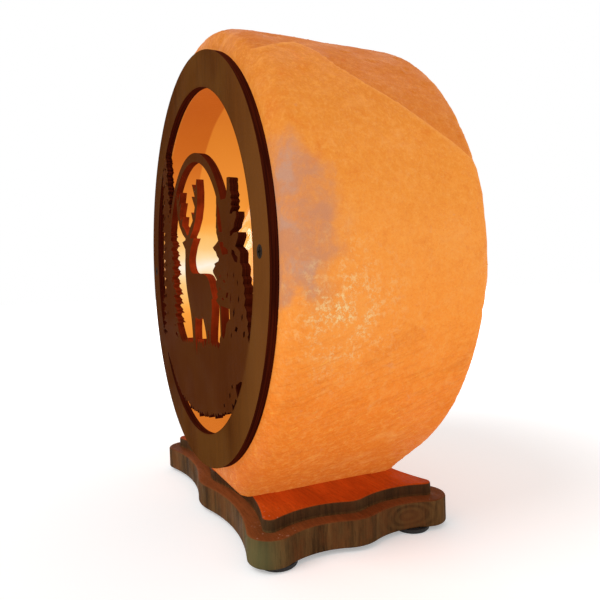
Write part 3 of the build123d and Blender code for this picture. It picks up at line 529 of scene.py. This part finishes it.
def rock_salt(given):
    """Rock salt lit from inside by painted glow: its painted glow by height, clouds, flakes, and the
    niche's painted light.
    """
    made, tree, shader, place = material("rock_salt")
    z = parts(tree, place)[2]
    uneven = calc(tree, "SUBTRACT", cloudy(tree, place, 22.0, 4.0, 0.6), 0.5)
    height = calc(tree, "MULTIPLY_ADD", uneven, 24.0, z)
    level = calc(tree, "MULTIPLY_ADD", uneven, 9.0, z)
    body, fine, tiny = salt_colour(tree, given, place, height)
    body = salt_clouds(tree, given, place, body)
    body, bits = salt_grains(tree, place, body)
    body, drag = salt_marks(tree, place, body)
    niche = surface_mark(tree, "niche")
    base = blend(tree, 1.0, body, scaled((1.0, 0.9, 0.6, 1.0), 1.05 - given.glow), "MULTIPLY")
    glow = blend(tree, 1.0, body, scaled(WHITE, given.glow), "MULTIPLY")
    grit = use(tree, "Fine Grit", {"Place": place, "Size": 0.9, "Patch": 14.0})
    set_sockets(tree, shader, {
        "Base Color": blend(tree, niche, base, (0.02, 0.008, 0.003, 1.0)),
        "Roughness": smooth(tree, grit["Patchiness"], 0.0, 1.0, 0.42, 0.62),
        "Specular IOR Level": 0.05,
        "Emission Color": blend(tree, niche, glow, niche_light(tree, place, level)),
        "Emission Strength": 1.0,
    })
    relief = calc(tree, "MULTIPLY_ADD", tiny, 0.4, times(tree, fine, 0.6))
    relief = calc(tree, "MULTIPLY_ADD", drag, -0.25, relief)
    relief = calc(tree, "MULTIPLY_ADD", bits, 0.3, relief)
    bump(tree, shader, relief, 0.8 * MM, 0.8)
    return made


def stained_plywood(given):
    """Brown stained plywood: grained faces, and laser-burnt edges that glow near the bulb."""
    made, tree, shader, place = material("stained_plywood")
    x, _, z = parts(tree, place)
    grain = use(tree, "Wood Grain", {
        "Place": place, "Stretch": (0.9, 0.5, 0.09), "Contrast": 0.85,
        "Light": tuple(given.face), "Dark": tuple(given.face_dark),
    })
    up = calc(tree, "SUBTRACT", z, axis_height / MM)
    out = add(tree, "ShaderNodeCombineXYZ", {0: x, 1: 0.0, 2: up}).outputs[0]
    radius = on_vectors(tree, "LENGTH", out)
    tint = cloudy(tree, place, 40.0, 2.0)
    # painted shade on the left of the picture and painted light on its right, and the scene in the ring
    # is darker and redder
    face = grain["Color"]
    for value, low, high, most, shade in (
        (tint, 0.35, 0.65, 0.5, srgb(112, 72, 30)),
        (x, 40.0, 84.0, 0.6, srgb(126, 76, 34)),
        (x, 0.0, -80.0, 0.75, srgb(72, 33, 12)),
        (radius, *ring_inside, 0.7, srgb(80, 37, 13)),
    ):
        face = blend(tree, smooth(tree, value, low, high, 0.0, most), face, shade)
    layers = cloudy(tree, stretched(tree, place, (0.05, 3.0, 0.05)), 1.2, 2.0)
    edge = blend(tree, smooth(tree, layers, 0.4, 0.6, 0.0, 0.6), tuple(given.edge), srgb(84, 30, 12))
    is_face = smooth(tree, calc(tree, "ABSOLUTE", facing(tree)[1]), 0.55, 0.65)
    patchy = smooth(tree, cloudy(tree, place, 8.0), 0.3, 0.7, 0.45, 1.0)
    near = times(tree, smooth(tree, radius, 58.0, 12.0), patchy)
    glow = blend(tree, near, BLACK, scaled(given.edge_glow, 0.55))
    grit = use(tree, "Fine Grit", {"Place": place, "Size": 0.5, "Patch": 18.0})
    set_sockets(tree, shader, {
        "Base Color": blend(tree, is_face, edge, face),
        "Roughness": smooth(tree, grit["Patchiness"], 0.0, 1.0, 0.5, 0.68),
        "Specular IOR Level": 0.0008,
        "Emission Color": blend(tree, is_face, glow, BLACK),
        "Emission Strength": 1.0,
    })
    height = calc(tree, "MULTIPLY_ADD", grain["Height"], 0.7, times(tree, grit["Height"], 0.3))
    bump(tree, shader, height, 0.2 * MM, 0.7)
    return made


def board_sides(tree, given, place):
    """The plinth's streaked sides with a knot near the rear right corner and painted shade on the upper
    tier, and their grain's height.
    """
    x, _, z = parts(tree, place)
    side = use(tree, "Wood Grain", {
        "Place": place, "Stretch": (0.75, 0.75, 0.07), "Contrast": 1.25,
        "Light": tuple(given.light), "Dark": tuple(given.dark),
    })
    swirl = stretched(tree, on_vectors(tree, "SUBTRACT", place, knot_place), (0.3, 0.5, 1.0))
    rings = add(
        tree,
        "ShaderNodeTexWave",
        {"Vector": swirl, "Scale": 0.17, "Distortion": 2.6, "Detail": 3.0, "Detail Scale": 0.25},
        wave_type="RINGS",
        rings_direction="SPHERICAL",
    ).outputs[0]
    knot = blend(tree, smooth(tree, rings, 0.1, 0.9), srgb(66, 43, 26), srgb(112, 80, 46))
    spot = times(tree, around(tree, place, knot_place, (16.0, 20.0, 14.0)), smooth(tree, x, 30.0, 45.0))
    mottle = cloudy(tree, stretched(tree, place, (1.0, 1.0, 0.4)), 7.0, 4.0, 0.6)
    green = around(tree, place, green_corner, (26.0, 16.0, 16.0))
    wood = side["Color"]
    for share, shade in (
        (times(tree, spot, 0.55), knot),
        (smooth(tree, mottle, 0.46, 0.66, 0.0, 0.6), srgb(112, 68, 36)),
        (times(tree, green, 0.75), srgb(108, 104, 66)),
        # painted shade on the upper tier's sides
        (times(tree, smooth(tree, z, *upper_tier), 0.55), srgb(62, 40, 27)),
    ):
        wood = blend(tree, share, wood, shade)
    return wood, side["Height"]


def board_tops(tree, given, place):
    """The plinth's top faces, reddened by the salt's painted light, with painted shade towards the left
    end and dust on one corner.
    """
    x, _, z = parts(tree, place)
    lengthways = use(tree, "Wood Grain", {
        "Place": place, "Stretch": (0.10, 0.85, 1.0), "Contrast": 0.8,
        "Light": WHITE, "Dark": (0.42, 0.40, 0.38, 1.0),
    })
    lit = blend(tree, smooth(tree, z, 12.6, 15.5), tuple(given.ledge), tuple(given.warm))
    lit = blend(tree, 0.85, lit, lengthways["Color"], "MULTIPLY")
    # painted shade towards the left end of the board
    lit = blend(tree, smooth(tree, x, -30.0, -76.0, 0.0, 0.45), lit, srgb(82, 52, 34))
    dust = use(tree, "Scattered Specks", {"Place": place, "Size": 1.1, "Share": 0.16, "Fill": 0.30})
    corner = around(tree, place, dusty_corner, (22.0, 16.0, 8.0))
    return blend(tree, times(tree, dust["Mask"], corner, 0.45), lit, srgb(186, 150, 128))


def oiled_board(given):
    """The plinth's wood: streaked sides, and top faces that the salt's light reddens."""
    made, tree, shader, place = material("oiled_board")
    sides, grain = board_sides(tree, given, place)
    tops = board_tops(tree, given, place)
    up = smooth(tree, facing(tree)[2], 0.35, 0.8)
    # light from the salt falls off across the top
    reach = smooth(tree, calc(tree, "ABSOLUTE", parts(tree, place)[0]), 76.0, 34.0)
    grit = use(tree, "Fine Grit", {"Place": place, "Size": 0.6, "Patch": 10.0})
    set_sockets(tree, shader, {
        "Base Color": blend(tree, up, sides, tops),
        "Roughness": smooth(tree, grit["Patchiness"], 0.0, 1.0, 0.45, 0.65),
        "Specular IOR Level": 0.015,
        "Emission Color": blend(tree, times(tree, up, reach, 0.4), BLACK, tops),
        "Emission Strength": 1.0,
    })
    height = calc(tree, "MULTIPLY_ADD", grain, 0.6, times(tree, grit["Height"], 0.4))
    bump(tree, shader, height, 0.3 * MM, 0.7)
    return made


def paint(names, finish):
    """CAD nodes keep their shape and get a finish."""
    for name in names:
        mesh = nodes[name].data
        mesh.materials.clear()
        mesh.materials.append(finish)


def dress(names, label, shade, rough, metallic=0.0, size=0.5, tint=0.8, depth=0.05, extra=None):
    """Gives small parts one finish with soft patches and grit of a size and depth in millimetres."""
    made, tree, shader, place = material(label)
    grit = use(tree, "Fine Grit", {"Place": place, "Size": size, "Patch": 8.0})
    set_sockets(tree, shader, {
        "Base Color": blend(tree, grit["Patchiness"], scaled(shade, tint), shade),
        "Roughness": smooth(tree, grit["Height"], 0.3, 0.7, *rough),
        "Metallic": metallic,
        **(extra or {}),
    })
    bump(tree, shader, grit["Height"], depth * MM, 0.6)
    paint(names, made)
    return made


def bulb_glass():
    """Clear glass, warm with the light of the filament behind it."""
    made, tree, shader, place = material("bulb_glass")
    near = around(tree, place, (0.0, bulb_y / MM, axis_height / MM), (26.0, 26.0, 40.0))
    haze = use(tree, "Fine Grit", {"Place": place, "Size": 6.0, "Patch": 20.0})
    set_sockets(tree, shader, {
        "Base Color": (1.0, 0.97, 0.92, 1.0),
        "Roughness": smooth(tree, haze["Height"], 0.3, 0.7, 0.03, 0.08),
        "Transmission Weight": 1.0,
        "IOR": 1.45,
        "Emission Color": blend(tree, near, (0.06, 0.02, 0.005, 1.0), (0.30, 0.17, 0.06, 1.0)),
        "Emission Strength": 0.55,
    })
    return made


def filament_glow(given):
    """White-hot wire, uneven in its heat."""
    made, tree, shader, place = material("filament_glow")
    heat = cloudy(tree, place, 2.0, 1.0)
    set_sockets(tree, shader, {
        "Base Color": (0.05, 0.05, 0.05, 1.0),
        "Roughness": 0.6,
        "Emission Color": blend(tree, heat, (1.0, 0.62, 0.26, 1.0), (1.0, 0.86, 0.58, 1.0)),
        "Emission Strength": given.brightness,
    })
    return made


# ------------------------------------------------------------------ mesh helpers


def link_piece(name, mesh):
    made = bpy.data.objects.new(name, mesh)
    bpy.context.scene.collection.objects.link(made)
    return made


def baked(source, name):
    """The evaluated mesh of an object, as a plain mesh."""
    bpy.context.view_layer.update()
    result = source.evaluated_get(bpy.context.evaluated_depsgraph_get())
    mesh = bpy.data.meshes.new_from_object(result)
    mesh.name = name
    return mesh


def shade_smooth(mesh):
    mesh.polygons.foreach_set("use_smooth", [True] * len(mesh.polygons))


def geometry_tree(name, inputs):
    """A Geometry Nodes tree with named inputs beside its geometry."""
    through = ("Geometry", "Geometry")
    return new_group(name, [(*through, None), *inputs], [through], "GeometryNodeTree")


def close_tree(tree, given, out, geometry):
    """Every tree ends in real geometry with its material."""
    real = add(tree, "GeometryNodeRealizeInstances", {0: geometry}).outputs[0]
    finish = add(tree, "GeometryNodeSetMaterial", {"Geometry": real, "Material": given["Material"]})
    tree.links.new(finish.outputs[0], out["Geometry"])


def grow(name, tree, values, start=None):
    """Runs a geometry tree over a mesh and returns the result as a plain mesh."""
    holder = link_piece(name + "_source", start or bpy.data.meshes.new(name + "_empty"))
    modifier = holder.modifiers.new("tree", "NODES")
    modifier.node_group = tree
    for item in tree.interface.items_tree:
        if item.item_type == "SOCKET" and item.in_out == "INPUT" and item.name in values:
            modifier[item.identifier] = values[item.name]
    mesh = baked(holder, name)
    holder.modifiers.clear()
    bpy.data.objects.remove(holder)
    return mesh


def helix_tree():
    """A round wire wound into a helix that rises from the origin along +Z."""
    tree, given, out = geometry_tree("Helix Wire", [
        ("Turns", "Float", 5.0),
        ("Radius", "Float", 0.005),
        ("Rise", "Float", 0.01),
        ("Wire Radius", "Float", 0.0005),
        ("Steps per Turn", "Int", 24),
        ("Sides", "Int", 6),
        ("Material", "Material", None),
    ])
    spiral = add(tree, "GeometryNodeCurveSpiral", {
        "Resolution": given["Steps per Turn"], "Rotations": given["Turns"], "Height": given["Rise"],
        "Start Radius": given["Radius"], "End Radius": given["Radius"],
    }).outputs[0]
    ring = add(tree, "GeometryNodeCurvePrimitiveCircle", {
        "Resolution": given["Sides"], "Radius": given["Wire Radius"],
    }).outputs[0]
    swept = add(tree, "GeometryNodeCurveToMesh", {
        "Curve": spiral, "Profile Curve": ring, "Fill Caps": True,
    }).outputs[0]
    rounded = add(tree, "GeometryNodeSetShadeSmooth", {"Geometry": swept}).outputs[0]
    close_tree(tree, given, out, rounded)
    return tree


def flakes_tree():
    """Thin crystal flakes scattered where the flake zone lies, half sunk in the surface."""
    tree, given, out = geometry_tree("Crystal Flakes", [
        ("Density", "Float", 20000.0),
        ("Size", "Float", 0.0011),
        ("Seed", "Int", 7),
        ("Material", "Material", None),
    ])
    zone = add(tree, "GeometryNodeInputNamedAttribute", {"Name": "flake_zone"}, data_type="FLOAT")
    spread = add(tree, "GeometryNodeDistributePointsOnFaces", {
        "Mesh": given["Geometry"],
        "Density": calc(tree, "MULTIPLY", zone.outputs[0], given["Density"]),
        "Seed": given["Seed"],
    }, distribute_method="RANDOM").outputs
    flake = add(tree, "GeometryNodeMeshIcoSphere", {"Radius": given["Size"], "Subdivisions": 1})

    def lot(low, high, seed):
        return add(tree, "FunctionNodeRandomValue", {"Min": low, "Max": high, "Seed": seed},
            data_type="FLOAT_VECTOR").outputs[0]

    turned = add(tree, "FunctionNodeRotateRotation", {
        "Rotation": spread["Rotation"],
        "Rotate By": lot((0.0, 0.0, 0.0), (0.0, 0.0, 6.28), 3),
    }, rotation_space="LOCAL")
    placed = add(tree, "GeometryNodeInstanceOnPoints", {
        "Points": spread["Points"],
        "Instance": flake.outputs[0],
        "Rotation": turned.outputs[0],
        "Scale": lot((0.35, 0.2, 0.09), (1.3, 0.55, 0.17), 5),
    })
    close_tree(tree, given, out, placed.outputs[0])
    return tree


# ------------------------------------------------------------------ the salt drum

# The cleft's edge on the drum's right flank: depth behind the front face in millimetres, and the
# angle above the horizontal in degrees.
cleft_edge = [
    (0.0, 47.8), (3.5, 45.9), (7.0, 46.2), (13.0, 49.2), (19.0, 51.4), (22.0, 50.4), (26.0, 47.3),
    (29.0, 43.0), (33.0, 38.5), (38.0, 34.8), (44.0, 32.0), (50.0, 28.8), (56.0, 25.6), (62.5, 22.2),
    (69.0, 18.5), (74.0, 15.5),
]
drum_radius = 95.0

# Reaches on the drum, in metres: across from its axis, in from its front, and round the bore.
behind_picture = (87 * MM, 2 * MM)
round_bore = (22 * MM, 50 * MM)
outer_rim = (80 * MM, 88 * MM)
outer_rear = (64 * MM, 70 * MM)
niche_radius = 73.6 * MM
niche_depth = 57 * MM

# The flakes' size, and how many a square metre gets for each step of the Crystals setting.
flake_size = 0.9 * MM
flake_density = 800.0


def ease(value, low, high):
    """From 0 to 1, smoothly, as a value goes from low to high."""
    share = np.clip((value - low) / (high - low), 0.0, 1.0)
    return share * share * (3.0 - 2.0 * share)


def bell(value, middle, spread):
    """1 at the middle, falling off on both sides."""
    return np.exp(-(((value - middle) / spread) ** 2))


def field(points, size, seed):
    """Smooth noise from -1 to 1 at each point, with lumps of a size in metres."""
    shift = Vector((seed * 17.3, seed * 5.1, seed * 9.7))
    return np.array([noise.noise(Vector(point) / size + shift) for point in points])


def remeshed_salt(grain):
    """The CAD drum with evenly spread points."""
    mesh = nodes["salt_block"].data.copy()
    work = bmesh.new()
    work.from_mesh(mesh)
    bmesh.ops.remove_doubles(work, verts=work.verts, dist=0.01 * MM)
    work.to_mesh(mesh)
    work.free()
    rough = link_piece("salt_source", mesh)
    remesh = rough.modifiers.new("remesh", "REMESH")
    remesh.mode = "VOXEL"
    remesh.voxel_size = grain
    mesh = baked(rough, "salt_drum")
    bpy.data.objects.remove(rough)
    return mesh


def vectors_of(items, key):
    """A mesh's points or directions as rows of three numbers."""
    values = np.empty(len(items) * 3)
    items.foreach_get(key, values)
    return values.reshape(-1, 3)


def build_salt(given):
    """The drum's surface, carved, pitted and cloven, with marks for its finish."""
    mesh = remeshed_salt(given.grain)
    points = vectors_of(mesh.vertices, "co")
    normals = vectors_of(mesh.vertex_normals, "vector")
    x, y, z = points.T
    up = z - axis_height
    radius = np.hypot(x, up)
    depth = y - salt_front
    bore = np.hypot(x, y - bulb_y)
    angle = np.degrees(np.arctan2(up, x))

    # where the surface may move: not on the board, under the picture, or in the bore
    free = ease(z, salt_low.z + 1 * MM, salt_low.z + 4 * MM)
    free *= np.where((depth < behind_picture[1]) & (radius < behind_picture[0]), 0.0, 1.0)
    free *= np.where((bore < round_bore[0]) & (z < axis_height - round_bore[1]), 0.0, 1.0)
    outer = np.maximum(ease(radius, *outer_rim), ease(depth, *outer_rear))
    hollow = (radius < niche_radius) & (depth < niche_depth) & (depth > 0.4 * MM)

    move = given.lump * (field(points, 26 * MM, 1.0) + 0.4 * field(points, 9 * MM, 2.0)) * outer
    move -= given.pit * ease(field(points, 5 * MM, 3.0), 0.42, 0.62) * outer
    move += 0.12 * MM * field(points, 2.6 * MM, 4.0) * outer
    move += np.where(hollow, 0.25 * MM * field(points, 7 * MM, 5.0), 0.0)

    # the cloven upper side, set back behind a slightly raised edge
    edge_depth, edge_angle = np.array(cleft_edge).T
    above = np.radians(angle - np.interp(depth, edge_depth * MM, edge_angle)) * drum_radius
    fade = ease(angle, 150.0, 95.0) * np.where(angle < -90, 0.0, 1.0) * outer
    fade *= ease(depth, 1 * MM, 4 * MM) * ease(depth, 74 * MM, 69 * MM)
    cleft = ease(above, 0.0, 2.4) * fade
    ridge = bell(above, 0.0, 1.1) * fade * ease(angle, 5.0, 20.0) * ease(angle, 70.0, 55.0)
    move += ridge * 0.22 * MM - cleft * given.step
    points += normals * (move * free)[:, None]
    mesh.vertices.foreach_set("co", points.ravel())

    # flakes lie thick beside the bulb at the picture's right, and thin elsewhere
    near = bell(y, -22 * MM, 14 * MM) * bell(z, 89 * MM, 15 * MM)
    far = 0.30 * bell(z, 84 * MM, 26 * MM)
    near = (near * (x > 60 * MM) + far * (x < 60 * MM) + 0.06) * outer
    marks = {"cleft": cleft, "ridge": ridge, "flake_zone": near, "niche": np.where(hollow, 1.0, 0.0)}
    for name, values in marks.items():
        attribute = mesh.attributes.new(name, "FLOAT", "POINT")
        attribute.data.foreach_set("value", values.astype(np.float32))
    mesh.update()
    shade_smooth(mesh)
    return mesh


class LAMP_OT_salt(bpy.types.Operator):
    """Carves the salt drum out of its CAD solid and sets crystal flakes in it"""

    bl_idname = "salt_lamp.make_salt"
    bl_label = "Make Salt Drum"

    def execute(self, context):
        given = context.scene.salt_settings
        mesh = build_salt(given)
        mesh.materials.clear()
        finish = rock_salt(given)
        mesh.materials.append(finish)
        salt = link_piece("salt_drum", mesh)
        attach(salt, "lamp")
        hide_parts("salt_block")
        flakes = grow("salt_flakes", flakes_tree(), {
            "Density": given.crystals * flake_density, "Size": flake_size, "Seed": 7,
            "Material": finish,
        }, mesh.copy())
        piece = link_piece("salt_flakes", flakes)
        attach(piece, "lamp")
        return {"FINISHED"}


# ------------------------------------------------------------------ picture, plinth and feet


class LAMP_OT_fretwork(bpy.types.Operator):
    """Finishes the fretwork picture, its screws and the plugs"""

    bl_idname = "salt_lamp.make_fretwork"
    bl_label = "Make Fretwork Picture"

    def execute(self, context):
        given = context.scene.fretwork_settings
        paint(["fretwork_panel"], stained_plywood(given))
        matt = {"Specular IOR Level": 0.01}
        dress(["panel_screws"], "blackened_steel", srgb(50, 40, 33), (0.6, 0.8), extra=matt)
        plugs = ["panel_plugs", "base_plugs"]
        dress(plugs, "grey_nylon", srgb(150, 150, 146), (0.45, 0.6), depth=0.1)
        return {"FINISHED"}


class LAMP_OT_plinth(bpy.types.Operator):
    """Finishes the stepped plinth, its feet, screws and cord inlet"""

    bl_idname = "salt_lamp.make_plinth"
    bl_label = "Make Plinth"

    def execute(self, context):
        given = context.scene.plinth_settings
        paint(["base_plinth"], oiled_board(given))
        soft = ["cord_grommet", *(name for name in nodes if name.startswith("foot_"))]
        dress(soft, "black_rubber", srgb(24, 22, 21), (0.6, 0.85), size=0.35, depth=0.15)
        dress(["base_screws"], "plain_steel", srgb(186, 184, 178), (0.22, 0.4), 1.0)
        return {"FINISHED"}


# ------------------------------------------------------------------ bulb and holder

# The filament's runs between its supports, the turns in each, and the gap left at their ends.
filament_runs = 4
filament_turns = 20.0
filament_gap = 0.2 * MM

# Where the rolled threads start and stop above the foot of their tube, and their middle's radius.
cap_thread = (2.0 * MM, 14.8 * MM, 6.65 * MM)
nipple_thread = (0.3 * MM, 2.5 * MM, 4.86 * MM)


def filament_coils(given, tree, finish):
    """The coiled wire in straight runs, up and down between its supports."""
    pitch = (filament_high.x - filament_low.x) / filament_runs
    levels = (filament_high.z - filament_gap, filament_low.z + filament_gap)
    work = bmesh.new()
    for run in range(filament_runs):
        start = Vector((filament_low.x + pitch * run, bulb_y, levels[run % 2]))
        end = Vector((filament_low.x + pitch * (run + 1), bulb_y, levels[(run + 1) % 2]))
        span = end - start
        coil = grow("coil", tree, {
            "Turns": filament_turns, "Radius": given.coil, "Rise": span.length,
            "Wire Radius": given.wire, "Steps per Turn": 12, "Sides": 4, "Material": finish,
        })
        turn = span.to_track_quat("Z", "Y").to_matrix().to_4x4()
        coil.transform(Matrix.Translation(start) @ turn)
        work.from_mesh(coil)
        bpy.data.meshes.remove(coil)
    mesh = bpy.data.meshes.new("filament_coils")
    work.to_mesh(mesh)
    work.free()
    mesh.materials.append(finish)
    shade_smooth(mesh)
    return mesh


def thread_piece(name, body, finish, foot, span, pitch, depth, steps):
    """A rolled thread as a round ridge wound about a tube of a CAD node."""
    low, high, radius = span
    mesh = grow(name, helix_tree(), {
        "Turns": (high - low) / pitch, "Radius": radius, "Rise": high - low,
        "Wire Radius": depth, "Steps per Turn": steps, "Sides": 8, "Material": finish,
    })
    mesh.transform(Matrix.Translation((0.0, bulb_y, foot + low)))
    piece = link_piece(name, mesh)
    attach(piece, body)


class LAMP_OT_bulb(bpy.types.Operator):
    """Makes the lit bulb: glass, coiled filament, wires and screw cap"""

    bl_idname = "salt_lamp.make_bulb"
    bl_label = "Make Bulb"

    def execute(self, context):
        given = context.scene.bulb_settings
        paint(["bulb_envelope"], bulb_glass())
        clear = {"Transmission Weight": 0.6}
        dress(["bulb_stem"], "stem_glass", srgb(226, 214, 190), (0.1, 0.25), depth=0.02, extra=clear)
        wires = ["lead_wires", "support_wires"]
        dress(wires, "lead_wire", srgb(150, 134, 112), (0.25, 0.4), 1.0, size=0.2)
        glow = filament_glow(given)
        coils = link_piece("filament_coils", filament_coils(given, helix_tree(), glow))
        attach(coils, "bulb")
        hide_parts("filament")
        dress(["bulb_insulator"], "black_glass", srgb(22, 20, 24), (0.06, 0.16), depth=0.02)
        dress(["bulb_contact"], "solder", srgb(176, 176, 172), (0.25, 0.5), 1.0, size=0.4, depth=0.1)
        cap = srgb(204, 198, 184)
        tin = dress(["bulb_cap"], "cap_metal", cap, (0.18, 0.36), 1.0, size=0.3, tint=0.9)
        thread_piece(
            "bulb_cap_thread", "bulb", tin, cap_low.z, cap_thread,
            given.pitch, given.thread, 36,
        )
        return {"FINISHED"}


class LAMP_OT_holder(bpy.types.Operator):
    """Finishes the lamp holder with its contacts, nipple, nut and spring clip"""

    bl_idname = "salt_lamp.make_holder"
    bl_label = "Make Lamp Holder"

    def execute(self, context):
        given = context.scene.holder_settings
        case = ["holder_shell", "holder_cap"]
        dress(case, "black_thermoset", tuple(given.case), (0.22, 0.4), size=0.7, depth=0.06)
        block = srgb(228, 222, 208)
        dress(["contact_block"], "glazed_ceramic", block, (0.12, 0.3), size=1.2, tint=0.94)
        brass = ["screw_liner", "centre_contact", "terminal_screws"]
        dress(brass, "plain_brass", srgb(206, 168, 92), (0.2, 0.36), 1.0, size=0.4, tint=0.88)
        tube = ["threaded_nipple", "nipple_nut"]
        zinc = dress(tube, "zinc_steel", srgb(190, 192, 192), (0.24, 0.42), 1.0, size=0.6, tint=0.86)
        dress(["spring_clip"], "spring_steel", srgb(150, 152, 156), (0.2, 0.36), 1.0, size=0.8)
        thread_piece(
            "nipple_thread", "holder", zinc, nipple_low.z, nipple_thread,
            given.nipple_pitch, given.nipple_thread, 32,
        )
        return {"FINISHED"}


# ------------------------------------------------------------------ stage

# Distances from the lamp over which the floor goes from showing its shadow to plain white.
floor_fade = (120.0, 620.0)

# The camera's place and attitude, solved from the picture's ring, the drum and the board.
camera_place = (0.232126, -0.104615, 0.097287)
camera_right = Vector((0.43612, 0.89926, -0.03358))
camera_up = Vector((-0.00791, 0.04115, 0.99912))
camera_back = Vector((0.89985, -0.43547, 0.02506))
key_direction = Vector((-0.08, 0.66, -0.70))


def seen_rays(tree):
    """1 for what is seen directly, in a reflection or through glass, and 0 for what lights."""
    rays = add(tree, "ShaderNodeLightPath").outputs
    through = calc(tree, "MAXIMUM", rays["Is Glossy Ray"], rays["Is Transmission Ray"])
    return calc(tree, "MAXIMUM", rays["Is Camera Ray"], through)


def floor_finish():
    """A pale floor that shows white to the camera and keeps the lamp's shadow."""
    made = bpy.data.materials.new("pale_floor")
    made.use_nodes = True
    tree = made.node_tree
    tree.nodes.remove(tree.nodes["Principled BSDF"])
    matt = add(tree, "ShaderNodeBsdfDiffuse", {"Color": (0.86, 0.86, 0.86, 1.0)})
    reach = on_vectors(tree, "LENGTH", millimetres(tree))
    strength = times(tree, seen_rays(tree), smooth(tree, reach, *floor_fade, 0.34, 1.0))
    lift = add(tree, "ShaderNodeEmission", {"Color": WHITE, "Strength": strength})
    total = add(tree, "ShaderNodeAddShader", {0: matt.outputs[0], 1: lift.outputs[0]})
    tree.links.new(total.outputs[0], tree.nodes["Material Output"].inputs["Surface"])
    return made


class LAMP_OT_stage(bpy.types.Operator):
    """Sets the pale floor, the soft lights and the camera"""

    bl_idname = "salt_lamp.make_stage"
    bl_label = "Make Stage"

    def execute(self, context):
        given = context.scene.stage_settings
        scene = context.scene
        half = given.floor_size / 2
        mesh = bpy.data.meshes.new("floor")
        sides = ((-half, -half), (half, -half), (half, half), (-half, half))
        mesh.from_pydata([(x, y, -0.1 * MM) for x, y in sides], [], [(0, 1, 2, 3)])
        mesh.materials.append(floor_finish())
        link_piece("floor", mesh)

        light = bpy.data.lights.new("key", "SUN")
        light.energy = given.key
        light.angle = given.softness
        key = link_piece("key", light)
        key.rotation_euler = key_direction.to_track_quat("-Z", "Y").to_euler()

        scene.world = bpy.data.worlds.new("studio")
        scene.world.use_nodes = True
        tree = scene.world.node_tree
        strength = calc(tree, "MULTIPLY_ADD", seen_rays(tree), 1.0 - given.sky, given.sky)
        set_sockets(tree, tree.nodes["Background"], {"Color": WHITE, "Strength": strength})

        camera = link_piece("camera", bpy.data.cameras.new("camera"))
        camera.data.lens = given.lens
        camera.data.sensor_width = 36.0
        camera.data.clip_start = 0.01
        camera.data.clip_end = 50.0
        turn = Matrix((camera_right, camera_up, camera_back)).transposed().to_4x4()
        camera.matrix_world = Matrix.Translation(camera_place) @ turn
        scene.camera = camera
        scene.view_settings.view_transform = "Standard"
        return {"FINISHED"}


class LAMP_PT_panel(bpy.types.Panel):
    """Lists the lamp's pieces and their settings"""

    bl_label = "Salt Lamp"
    bl_idname = "LAMP_PT_panel"
    bl_space_type = "VIEW_3D"
    bl_region_type = "UI"
    bl_category = "Salt Lamp"

    def draw(self, context):
        for operator, settings, _ in steps:
            box = self.layout.box()
            box.operator(operator.bl_idname)
            group = getattr(context.scene, settings)
            for name in group.__annotations__:
                box.prop(group, name)


# Each operator with the name and kind of its settings, in the order in which they run.
steps = [
    (LAMP_OT_salt, "salt_settings", SaltSettings),
    (LAMP_OT_fretwork, "fretwork_settings", FretworkSettings),
    (LAMP_OT_plinth, "plinth_settings", PlinthSettings),
    (LAMP_OT_bulb, "bulb_settings", BulbSettings),
    (LAMP_OT_holder, "holder_settings", HolderSettings),
    (LAMP_OT_stage, "stage_settings", StageSettings),
]


def register():
    for operator, settings, kind in steps:
        bpy.utils.register_class(kind)
        setattr(bpy.types.Scene, settings, bpy.props.PointerProperty(type=kind))
        bpy.utils.register_class(operator)
    bpy.utils.register_class(LAMP_PT_panel)


def unregister():
    bpy.utils.unregister_class(LAMP_PT_panel)
    for operator, settings, kind in steps:
        bpy.utils.unregister_class(operator)
        delattr(bpy.types.Scene, settings)
        bpy.utils.unregister_class(kind)


def main():
    register()
    for group in (grit_group(), grain_group(), specks_group()):
        groups[group.name] = group
    for operator, _, _ in steps:
        area, name = operator.bl_idname.split(".")
        getattr(getattr(bpy.ops, area), name)()


if __name__ == "__main__":
    main()
